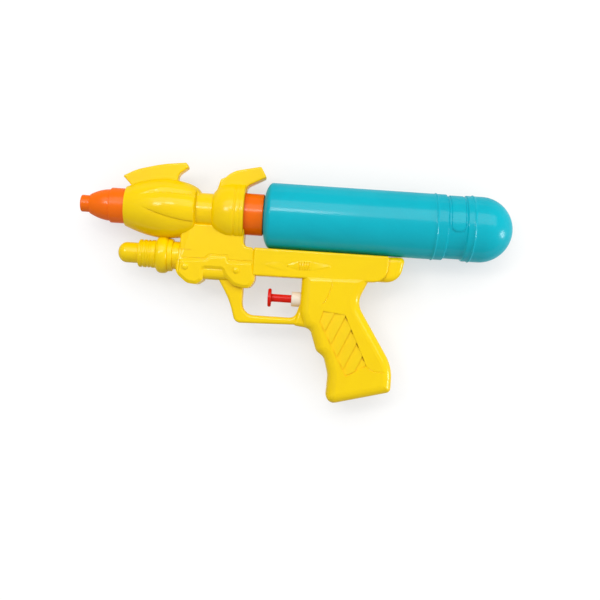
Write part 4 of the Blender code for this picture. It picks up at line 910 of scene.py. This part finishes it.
def grip_ribs():
    """Saw-tooth ribs sunk into both sides of the grip: each tooth is a strip of the panel whose floor
    slopes across the rib, deepest at its upper left side."""
    look = bpy.context.scene.squirter_body
    lean = math.radians(RIB_LEAN)
    across = np.array((math.sin(lean), -math.cos(lean)))
    pitch, depth = look.rib_pitch / MM, look.rib_depth / MM
    cuts = []
    for start in RIB_START + pitch * np.arange(RIB_COUNT):
        strip = clipped(clipped(PANEL, -across, -start), across, start + pitch + 0.02)
        if len(strip) < 3:
            continue
        share = (np.array(strip) @ across - start) / pitch
        cuts += [prism(strip, side * HALF["grip"], depth * (1.1 - share)) for side in (-1, 1)]
        cuts += rib_notch(across, start, pitch)
    return cuts


def rib_notch(across, start, pitch):
    """A short slot on both sides of the grip at the upper end of a rib, along the panel's rear edge."""
    low, high = (np.array(corner) for corner in PANEL[3:])
    ahead = (low - high) / ((low - high) @ across)
    one, two = (high + ahead * (start + shift * pitch - high @ across) for shift in NOTCH_SPAN)
    if not (high @ across <= one @ across and two @ across <= low @ across):
        return []
    return [slot(one, two, side * HALF["grip"], NOTCH_DEPTH) for side in (-1, 1)]


def rail_marks():
    """A pointed wedge and a spindle standing low on both sides of the rail."""
    wedge = [(143.8, -37.7, 0.3), (150.1, -36.2, 3), (155.5, -35.9, 0.8), (161.7, -40.8, 0.5),
             (156.8, -40.6, 3)]
    spindle = [(161.2, -37.6, 0.3), (169.3, -34.7, 5), (180.0, -34.2, 9), (194.0, -36.0, 0.3),
               (180.3, -39.3, 9), (169.6, -39.5, 5)]
    marks = [inset(from_place(outline, (0, 0)), -MARK_SLOPE) for outline in (wedge, spindle)]
    faces = (-HALF["rail"], HALF["rail"])
    return [raised(outline, face, MARK_HEIGHT, MARK_SLOPE) for outline in marks for face in faces]


def rail_cuts():
    """Short upright grooves across the spindle."""
    face = HALF["rail"] + MARK_HEIGHT
    cuts = []
    for x in np.arange(*MARK_GROOVES):
        path = [(x, z) for z in (-40.0, -37.0, -34.0)]
        cuts += [groove(path, side * face, 1.0, 0.7) for side in (-1, 1)]
    return cuts


# Pieces


def thread_ridge(start, turns, height):
    """Height of a right-handed helical ridge over (x, angle): a trapezoid across the helix, which
    fades at its two ends."""

    def ridge(x, angle):
        first = np.mod((math.pi - angle) / (2 * math.pi), 1)
        total = np.zeros(np.broadcast(x, angle).shape)
        for whole in range(math.ceil(turns)):
            turn = first + whole
            away = np.abs(x - start - THREAD_PITCH * turn)
            rise = np.clip((THREAD_ROOT_HALF - away) / (THREAD_ROOT_HALF - THREAD_CREST_HALF), 0, 1)
            fade = smooth(0, 0.08, turn) * (1 - smooth(turns - 0.08, turns, turn))
            total = np.maximum(total, rise * fade)
        return height * total

    return ridge


def tank_relief(x, angle):
    """Height added to the tank's outside: the thread on its neck, and a raised pad over the top half of
    the band, with rounded lower corners."""
    z = (TANK_R - BAND_DROP) * np.cos(angle)
    along = np.abs(x - PAD_MIDDLE) - PAD_HALF + PAD_CORNER
    down = PAD_LOW - z + PAD_CORNER
    corner = np.hypot(np.maximum(along, 0), np.maximum(down, 0)) + np.minimum(np.maximum(along, down), 0)
    pad = PAD_HEIGHT * (1 - smooth(-0.35, 0.35, corner - PAD_CORNER))
    neck = thread_ridge(TANK_THREAD, 2.0, THREAD_HEIGHT)(x, angle) * (x < TANK_FRONT - 8)
    return pad + neck


def tank_shape():
    """A bottle turned about the barrel's axis: inner wall, lip, threaded neck, shoulder, straight body
    with two beads and a sunk band, and a round end."""
    turn = np.linspace(0, math.pi / 2, 40)
    inner_r = TANK_R - TANK_WALL
    bend = turn[::4]
    inner_dome = np.stack((TANK_DOME + inner_r * np.cos(bend), inner_r * np.sin(bend)), axis=-1)
    inner = [(BAND_REAR + 2.3, inner_r), (BAND_REAR, inner_r - BAND_DROP), (BAND_FRONT, inner_r - BAND_DROP),
             (BAND_FRONT - 2.3, inner_r), (149.6, inner_r), (142.3, TANK_BORE_R),
             (TANK_LIP + 0.4, TANK_BORE_R)]
    lip = [(TANK_LIP, TANK_BORE_R + 0.4), (TANK_LIP, TANK_NECK_R - 0.4), (TANK_LIP + 0.4, TANK_NECK_R)]
    threaded = np.arange(TANK_LIP + 1.0, TANK_THREAD + 7.0, 0.25)
    neck_x = np.concatenate((threaded, np.linspace(126, TANK_FRONT, 4)))
    neck = np.stack((neck_x, np.full(len(neck_x), TANK_NECK_R)), axis=-1)
    start_r = TANK_NECK_R + THREAD_HEIGHT
    bend = turn[1::2]
    shoulder = np.stack((TANK_FRONT + 5.7 * (1 - np.cos(bend)) ** 0.8,
                         start_r + (TANK_R - start_r) * np.sin(bend)), axis=-1)
    x = np.concatenate((np.linspace(150, 266, 12), np.arange(267, TANK_DOME, 0.2)))
    beads = sum(0.6 * np.exp(-(((x - place) / 0.6) ** 2)) for place in TANK_BEADS)
    sunk, risen = (smooth(place - BAND_SLOPE, place + BAND_SLOPE, x) for place in (BAND_FRONT, BAND_REAR))
    band = BAND_DROP * sunk * (1 - risen)
    wall = np.stack((x, TANK_R + beads - band), axis=-1)
    dome = np.stack((TANK_DOME + TANK_R * np.sin(turn), TANK_R * np.cos(turn)), axis=-1)
    dome[-1, 1] = 0
    inner_dome[0, 1] = 0
    profile = np.concatenate((inner_dome, inner, lip, neck, shoulder, wall, dome))

    def outside_only(x, angle):
        rows = np.arange(len(profile))[:, None]
        return tank_relief(x, angle) * (rows >= len(inner_dome) + len(inner) + len(lip))

    return turned(profile, 176, swell=outside_only)


def nozzle_shape():
    """The nozzle's wall: a small tip, a cone that swells along a power curve, a step to the base, a
    hidden flange, and the inside with its socket and fine bore."""
    share = np.linspace(0, 1, 26)
    cone = [(8.1 + 15.9 * s, 7.4 + 4.6 * (1 - (1 - s) ** 1.9), 0) for s in share[1:-1]]
    chain = [(NOZZLE_TIP, 1.0, 0.25), (NOZZLE_TIP, 6.4, 0.9), (8.1, 6.4, 0.25), (8.1, 7.4, 0.3), *cone,
             (24.0, 12.0, 0.4), (24.0, 13.3, 0.8), (45.8, 13.3, 0.2), (45.8, 15.3, 0.4), (48.3, 15.3, 0.4),
             (48.3, 11.3, 0.4), (26.0, 11.3, 1.0), (19.5, 4.3, 0.3), (9.2, 4.3, 0.2), (9.2, 1.0, 0.15)]
    return turned(rounded(chain, steps=6), 128, loop=True)


def collar_shape():
    """The cup that the tank screws into: a turned wall with a locking flange, a floor, an inner thread,
    a bored hose nipple through the floor, and a vent hole."""
    outer = rounded([(COLLAR_FRONT, 0, 0), (COLLAR_FRONT, COLLAR_R, 0.6), (113.0, COLLAR_R, 0.2),
                     (113.0, 18.2, 0.4), (115.8, 18.2, 0.4), (115.8, COLLAR_R, 0.2),
                     (COLLAR_REAR, COLLAR_R, 0.9), (COLLAR_REAR, COLLAR_BORE_R, 0.5),
                     (COLLAR_REAR - 3, COLLAR_BORE_R, 0)], closed=False)
    bore_x = np.concatenate((np.linspace(135, 124, 4), np.arange(123.5, 117.0, -0.25), [114.0, COLLAR_FLOOR]))
    bore = np.stack((bore_x, np.full(len(bore_x), COLLAR_BORE_R)), axis=-1)
    profile = np.concatenate((outer, bore, ((COLLAR_FLOOR, 0),)))
    ridge = thread_ridge(COLLAR_THREAD, 1.0, -THREAD_HEIGHT)

    def inside_only(x, angle):
        return ridge(x, angle) * (np.arange(len(profile))[:, None] >= len(outer))

    wall = turned(profile, 128, swell=inside_only)
    nipple = rod(103.5, 117.5, 1.2, (0, 0, NIPPLE_Z), sides=24)
    bores = [rod(101.5, 119.5, 0.7, (0, 0, NIPPLE_Z), sides=16),
             rod(107.0, 114.0, 0.6, (0, 0, -NIPPLE_Z), sides=16)]
    return combined("tank_collar_skin", wall, ("UNION", [nipple]), ("DIFFERENCE", bores))


def trigger_shape():
    """The push trigger, turned about the pump's axis: a disc with a softly domed face and rounded rim,
    a filleted rod and the spigot that carries the piston."""
    chain = [(TRIGGER_FACE - 0.25, 0, 0), (TRIGGER_FACE, 4.0, 3.0), (TRIGGER_FACE + 0.15, 7.0, 0.9),
             (150.3, 7.0, 0.9), (150.3, 3.0, 1.0), (171.5, 3.0, 0.3), (171.5, 1.6, 0.2), (177.6, 1.6, 0.4),
             (177.6, 0, 0)]
    return turned(rounded(chain, closed=False), 96, centre=(0, 0, PUMP_Z))


def pump_shape():
    """The pump cylinder and its upright valve tower, with their stepped bores."""
    tower_low, tower_top = PUMP_Z - 13.7, PUMP_Z + 14.3
    ledge = PUMP_Z + 4.0
    chain = [(PUMP_FRONT, 0, 0), (PUMP_FRONT, PUMP_R, 0.9), (TOWER_X, PUMP_R, 0), (TOWER_X, 0, 0)]
    barrel = rounded(chain, closed=False)
    bore = [(PUMP_FRONT - 2, 0), (PUMP_FRONT - 2, 4.6), (171.5, 4.6), (171.5, PUMP_BORE_R),
            (CHAMBER_END, PUMP_BORE_R), (CHAMBER_END, 1.5), (TOWER_X, 1.5), (TOWER_X, 0)]
    well = [(tower_low - 2, 0), (tower_low - 2, 3.0), (ledge, 3.0), (ledge, 1.4), (ledge + 2.5, 1.4),
            (ledge + 2.5, 3.0), (tower_top + 2, 3.0), (tower_top + 2, 0)]
    tower = rod(tower_low, tower_top, 4.8, (TOWER_X, 0, 0), "z", 64)
    cuts = [turned(bore, 64, centre=(0, 0, PUMP_Z)), turned(well, 48, "z", (TOWER_X, 0, 0))]
    base = turned(barrel, 96, centre=(0, 0, PUMP_Z))
    return combined("pump_body_skin", base, ("UNION", [tower]), ("DIFFERENCE", cuts))


def spring_shape(start, end):
    """A round wire along a helix about the pump's axis from start to end, with closed ends."""
    angle = np.linspace(0, 2 * math.pi * SPRING_COILS, 28 * SPRING_COILS + 1)[:, None]
    around = np.linspace(0, 2 * math.pi, 12, endpoint=False)
    along = start + (end - start) * angle / angle[-1] + SPRING_WIRE_R * np.sin(around)
    radius = SPRING_R + SPRING_WIRE_R * np.cos(around)
    return skin(np.stack((along, radius * np.cos(angle), PUMP_Z + radius * np.sin(angle)), axis=-1))


def screw_shape(x, z):
    """A pan-head screw: a domed head with a tapered cross recess, and a grooved shank."""
    seat = SCREW_SEAT + FIT_GAP
    thread_y = np.linspace(seat - 0.6, SCREW_TIP + 2.0, 60)
    shank = np.stack((thread_y, SCREW_R - 0.28 * np.abs(np.mod(thread_y, 1.0) * 2 - 1)), axis=-1)
    turn = np.linspace(0, math.pi / 2, 9)
    crown = seat + 0.6 + (SCREW_HEAD_HEIGHT - 0.6) * np.cos(turn)
    head = np.stack((crown, SCREW_HEAD_R * np.sin(turn) ** 0.8), axis=-1)
    profile = np.concatenate((head, ((seat, SCREW_HEAD_R), (seat, SCREW_R)), shank, ((SCREW_TIP, 0),)))
    profile[0, 1] = 0
    body = turned(profile, 32, "y", (x, 0, z))
    top = seat + SCREW_HEAD_HEIGHT
    arms = []
    for wide, tall in ((1.7, 0.38), (0.38, 1.7)):
        flare = np.array(((1, 1), (-1, 1), (-1, -1), (1, -1))) * (wide, tall)
        rings = [np.stack((x + flare[:, 0] * scale, np.full(4, y), z + flare[:, 1] * scale), axis=-1)
                 for y, scale in ((top + 0.5, 1.2), (top - 1.1, 0.55))]
        arms.append(skin(np.stack(rings)))
    return combined("screw", body, ("DIFFERENCE", arms))


# Settings


def length_property(name, description, default):
    return FloatProperty(name=name, description=description, default=default, unit="LENGTH")


def power_property(name, description, default):
    return FloatProperty(name=name, description=description, default=default, unit="POWER")


class BodySizes(bpy.types.PropertyGroup):
    """Sizes of the yellow body's surface detail."""

    grip_edge: length_property("Grip edge", "Rounding of the grip's long edges", 0.0068)
    pod_swelling: length_property("Pod swelling", "Height of the drop shape on the pod's sides", 0.0012)
    pod_groove_depth: length_property("Pod groove", "Depth of the grooves round the drop shape", 0.0014)
    line_width: length_property("Panel line width", "Width of the fine panel lines", 0.0009)
    line_depth: length_property("Panel line depth", "Depth of the fine panel lines", 0.0005)
    rib_pitch: length_property("Grip rib pitch", "Distance between the ribs of the grip panel", 0.0084)
    rib_depth: length_property("Grip rib depth", "Depth of the grip panel's teeth", 0.0014)


def colour_property(name, description, default):
    return FloatVectorProperty(name=name, description=description, default=default, size=3, min=0, max=1,
                               subtype="COLOR")


class Colours(bpy.types.PropertyGroup):
    """Colours of the finishes, each with the tint of its flow marks."""

    yellow_body: colour_property("Body", "Yellow of the body", (0.95, 0.655, 0.0))
    yellow_body_flow: colour_property("Body flow", "Flow marks in the body", (0.93, 0.625, 0.0))
    orange_caps: colour_property("Caps", "Orange of the nozzle and the collar", (0.96, 0.165, 0.0))
    orange_caps_flow: colour_property("Caps flow", "Flow marks in the orange caps", (0.93, 0.15, 0.0))
    teal_tank: colour_property("Tank", "Teal of the tank", (0.0, 0.46, 0.57))
    teal_tank_flow: colour_property("Tank flow", "Flow marks in the tank", (0.0, 0.43, 0.54))
    red_trigger: colour_property("Trigger", "Red of the trigger", (0.74, 0.012, 0.006))
    red_trigger_flow: colour_property("Trigger flow", "Flow marks in the trigger", (0.68, 0.010, 0.005))
    white_pump: colour_property("Pump", "Ivory of the pump pieces", (0.86, 0.77, 0.65))
    white_pump_flow: colour_property("Pump flow", "Flow marks in the pump pieces", (0.84, 0.73, 0.60))
    clear_hose: colour_property("Hose", "Milky hose", (0.72, 0.74, 0.72))
    clear_hose_flow: colour_property("Hose flow", "Cloudy streaks in the hose", (0.66, 0.68, 0.66))
    rubber: colour_property("Rubber", "Seals", (0.018, 0.018, 0.018))


class StageLook(bpy.types.PropertyGroup):
    """Camera and light."""

    camera_place: FloatVectorProperty(name="Camera", description="Place of the camera",
                                      default=(-0.0322, -0.6486, 0.0229), size=3, subtype="TRANSLATION")
    camera_roll: FloatProperty(name="Camera roll", description="Turn of the picture about its middle",
                               default=math.radians(3.85), subtype="ANGLE")
    lens: FloatProperty(name="Lens", description="Focal length in millimetres", default=51.0)
    key_power: power_property("Key light", "Power of the large soft light", 42.0)
    back_power: power_property("Back light", "Power of the soft light behind", 9.0)
    right_power: power_property("Right light", "Power of the small oval light at the right", 3.6)
    front_power: power_property("Front light", "Power of the small light beside the camera", 2.6)
    left_power: power_property("Left light", "Power of the small light at the left", 4.0)
    ambient: FloatProperty(name="Ambient", description="Strength of the even light", default=0.37)


# Operators


class SQUIRTER_OT_body(bpy.types.Operator):
    """Build the two halves of the yellow body"""

    bl_idname = "squirter.body"
    bl_label = "Body halves"

    def execute(self, context):
        pair = combined(
            "body_pair", barrel_form(), ("UNION", [torch_form(), *lower_forms()]),
            ("DIFFERENCE", [body_hollow()]), ("DIFFERENCE", body_holes()),
            ("DIFFERENCE", [bow_line(), *panel_lines(), *grip_ribs(), *rail_cuts()]),
        )
        for name, side in (("left_shell", -1), ("right_shell", 1)):
            near, far = sorted((side * SEAM_GAP / 2, side * 60.0))
            room = box((-50, near, -200), (400, far, 200))
            half = combined(name + "_skin", pair.copy(), ("INTERSECT", [room]))
            add_piece(name + "_skin", half, "body", "yellow_body", [name])
        return {"FINISHED"}


class SQUIRTER_OT_nozzle(bpy.types.Operator):
    """Build the orange nozzle"""

    bl_idname = "squirter.nozzle"
    bl_label = "Nozzle"

    def execute(self, context):
        add_piece("nozzle_skin", nozzle_shape(), "body", "orange_caps", ["nozzle"])
        return {"FINISHED"}


class SQUIRTER_OT_collar(bpy.types.Operator):
    """Build the orange collar that the tank screws into"""

    bl_idname = "squirter.collar"
    bl_label = "Tank collar"

    def execute(self, context):
        add_piece("tank_collar_skin", collar_shape(), "body", "orange_caps", ["tank_collar"])
        return {"FINISHED"}


class SQUIRTER_OT_tank(bpy.types.Operator):
    """Build the teal water tank"""

    bl_idname = "squirter.tank"
    bl_label = "Tank"

    def execute(self, context):
        add_piece("tank_skin", tank_shape(), "tank", "teal_tank", ["tank"])
        return {"FINISHED"}


class SQUIRTER_OT_pump(bpy.types.Operator):
    """Build the red trigger, the ivory pump cylinder and the spring between them"""

    bl_idname = "squirter.pump"
    bl_label = "Trigger and pump"

    def execute(self, context):
        add_piece("trigger_skin", trigger_shape(), "trigger", "red_trigger", ["trigger"])
        add_piece("pump_body_skin", pump_shape(), "body", "white_pump", ["pump_body"])
        low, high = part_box("return_spring")
        ends = [(x - AXIS[0]) / MM for x in (low[0], high[0])]
        wire = spring_shape(ends[0] + SPRING_WIRE_R, ends[1] - SPRING_WIRE_R)
        spring = add_piece("return_spring_skin", wire, "body", "steel", ["return_spring"])
        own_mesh(spring)
        return {"FINISHED"}


class SQUIRTER_OT_screws(bpy.types.Operator):
    """Build the screws that hold the body's halves together"""

    bl_idname = "squirter.screws"
    bl_label = "Body screws"

    def execute(self, context):
        for number, (x, z) in enumerate(SCREW_PLACES, 1):
            shape = screw_shape(LOWER[0] + x, LOWER[1] + z)
            add_piece(f"body_screw_{number}_skin", shape, "body", "steel", [f"body_screw_{number}"])
        return {"FINISHED"}


class SQUIRTER_OT_inner(bpy.types.Operator):
    """Give the pieces inside the body and the tank their finishes"""

    bl_idname = "squirter.inner"
    bl_label = "Inner pieces"

    def execute(self, context):
        for row in frame["record"]["subparts"]:
            node = frame["nodes"][row["node"]]
            node.data.materials.clear()
            node.data.materials.append(finish(row["material_slot"]))
        return {"FINISHED"}


class SQUIRTER_OT_stage(bpy.types.Operator):
    """Set up the backdrop, the light and the camera"""

    bl_idname = "squirter.stage"
    bl_label = "Stage"

    def execute(self, context):
        look = context.scene.squirter_stage
        make_world(look.ambient)
        make_backdrop()
        make_lights(look)
        make_camera(look)
        context.scene.view_settings.view_transform = "Standard"
        return {"FINISHED"}


# Stage


def make_world(ambient):
    """Even white light at a plain level from all round."""
    world = bpy.data.worlds.new("studio")
    bpy.context.scene.world = world
    world.use_nodes = True
    tree = world.node_tree
    tree.nodes.clear()
    even = add_node(tree, "ShaderNodeBackground", {"Color": (1, 1, 1, 1), "Strength": ambient})
    add_node(tree, "ShaderNodeOutputWorld", {"Surface": even.outputs[0]})


def make_backdrop():
    """A white sheet that the squirter lies on, which keeps its shadow: paper that takes the lamps' shadows,
    and a glow, seen directly or in gloss, with a painted shadow in it: the glow is darker near the squirter
    by ambient occlusion that leans towards the key light. It is clear from behind and to the lamps."""
    mesh = bpy.data.meshes.new("backdrop")
    signs = ((-1, -1), (1, -1), (1, 1), (-1, 1))
    corners = [(x * SHEET_REACH, SHEET_PLACE, z * SHEET_REACH) for x, z in signs]
    mesh.from_pydata(corners, [], [(0, 1, 2, 3)])
    sheet = bpy.data.objects.new("backdrop", mesh)
    bpy.context.scene.collection.objects.link(sheet)
    material = bpy.data.materials.new("backdrop_white")
    material.use_nodes = True
    mesh.materials.append(material)
    tree = material.node_tree
    tree.nodes.clear()
    rays = add_node(tree, "ShaderNodeLightPath").outputs
    seen = sums(tree, "MAXIMUM", rays["Is Camera Ray"], rays["Is Glossy Ray"], rays["Is Transmission Ray"])
    seen = ramp(tree, seen, 0, 1, GLOW_SHARE, 1.0)
    # Painted shadow: ambient occlusion leaning towards the key darkens the glow near the squirter
    near = add_node(tree, "ShaderNodeAmbientOcclusion", {"Distance": SHADOW_REACH, "Normal": SHADOW_LEAN})
    painted_shadow = ramp(tree, near.outputs["AO"], 0, 1, SHADOW_GLOW, 1.0)
    paper = add_node(tree, "ShaderNodeBsdfDiffuse", {"Color": PAPER})
    strength = sums(tree, "MULTIPLY", seen, painted_shadow)
    glow = add_node(tree, "ShaderNodeEmission", {"Color": GLOW, "Strength": strength})
    white = add_node(tree, "ShaderNodeAddShader", {0: paper.outputs[0], 1: glow.outputs[0]})
    clear = add_node(tree, "ShaderNodeBsdfTransparent")
    backfacing = add_node(tree, "ShaderNodeNewGeometry").outputs["Backfacing"]
    unseen = sums(tree, "MAXIMUM", backfacing, rays["Is Shadow Ray"])
    mixed = add_node(tree, "ShaderNodeMixShader", {0: unseen, 1: white.outputs[0], 2: clear.outputs[0]})
    add_node(tree, "ShaderNodeOutputMaterial", {"Surface": mixed.outputs[0]})


def add_light(name, place, target, power, size, shape, gloss):
    """A soft area light at a place, facing a target. Gloss is its share in reflections."""
    light = bpy.data.lights.new(name, "AREA")
    light.shape = shape
    light.size, light.size_y = size
    light.energy = power
    light.specular_factor = gloss
    obj = bpy.data.objects.new(name, light)
    obj.location = place
    obj.rotation_euler = (Vector(target) - Vector(place)).to_track_quat("-Z", "Y").to_euler()
    bpy.context.scene.collection.objects.link(obj)


def make_lights(look):
    """A long soft box in front and above, two small lights left of the camera, an oval light at the right
    and a soft light behind. Each has its power, its turn to the right and its rise in degrees, its
    distance, size, shape and gloss."""
    middle = Vector(LIT_PLACE)
    lights = (
        ("key", look.key_power, 8, 34, 2.5, (4.4, 1.75), "RECTANGLE", 1.0),
        ("front", look.front_power, -6, 20, 1.5, (0.42, 0.22), "RECTANGLE", 1.0),
        ("left", look.left_power, -28, 12, 1.5, (0.36, 0.32), "RECTANGLE", 1.0),
        ("right", look.right_power, 80, -5, 1.02, (0.36, 0.26), "ELLIPSE", 1.0),
        ("back", look.back_power, 180, 0, 1.5, (1.0, 0.5), "RECTANGLE", 0.0),
    )
    for name, power, side, rise, away, size, shape, gloss in lights:
        side, rise = math.radians(side), math.radians(rise)
        ahead = Vector((math.sin(side) * math.cos(rise), -math.cos(side) * math.cos(rise), math.sin(rise)))
        add_light(name, middle + ahead * away, middle, power, size, shape, gloss)


def make_camera(look):
    """A camera that looks along +Y, with the picture turned about its middle."""
    camera = bpy.data.cameras.new("camera")
    camera.lens = look.lens
    camera.sensor_width = 36.0
    camera.clip_start, camera.clip_end = 0.01, 20.0
    obj = bpy.data.objects.new("camera", camera)
    upright = Matrix.Rotation(math.pi / 2, 4, "X")
    rolled = Matrix.Rotation(-look.camera_roll, 4, "Y")
    obj.matrix_world = Matrix.Translation(look.camera_place) @ rolled @ upright
    bpy.context.scene.collection.objects.link(obj)
    bpy.context.scene.camera = obj


# Panel and registration


class SQUIRTER_PT_panel(bpy.types.Panel):
    """Sizes, colours and pieces of the squirter"""

    bl_label = "Squirter"
    bl_idname = "SQUIRTER_PT_panel"
    bl_space_type = "VIEW_3D"
    bl_region_type = "UI"
    bl_category = "Squirter"

    def draw(self, context):
        for operator in OPERATORS:
            self.layout.operator(operator.bl_idname)
        for settings in ("squirter_body", "squirter_colours", "squirter_stage"):
            group = getattr(context.scene, settings)
            column = self.layout.column()
            for key in group.__annotations__:
                column.prop(group, key)


OPERATORS = (
    SQUIRTER_OT_body, SQUIRTER_OT_nozzle, SQUIRTER_OT_collar, SQUIRTER_OT_tank, SQUIRTER_OT_pump,
    SQUIRTER_OT_screws, SQUIRTER_OT_inner, SQUIRTER_OT_stage,
)
GROUPS = {"squirter_body": BodySizes, "squirter_colours": Colours, "squirter_stage": StageLook}


def register():
    for cls in (*GROUPS.values(), *OPERATORS, SQUIRTER_PT_panel):
        bpy.utils.register_class(cls)
    for key, cls in GROUPS.items():
        setattr(bpy.types.Scene, key, PointerProperty(type=cls))


def unregister():
    for key in GROUPS:
        delattr(bpy.types.Scene, key)
    for cls in (SQUIRTER_PT_panel, *reversed(OPERATORS), *GROUPS.values()):
        bpy.utils.unregister_class(cls)


def main():
    """Build every piece and the stage."""
    register()
    bpy.ops.squirter.body()
    bpy.ops.squirter.nozzle()
    bpy.ops.squirter.collar()
    bpy.ops.squirter.tank()
    bpy.ops.squirter.pump()
    bpy.ops.squirter.screws()
    bpy.ops.squirter.inner()
    bpy.ops.squirter.stage()


if __name__ == "__main__":
    main()
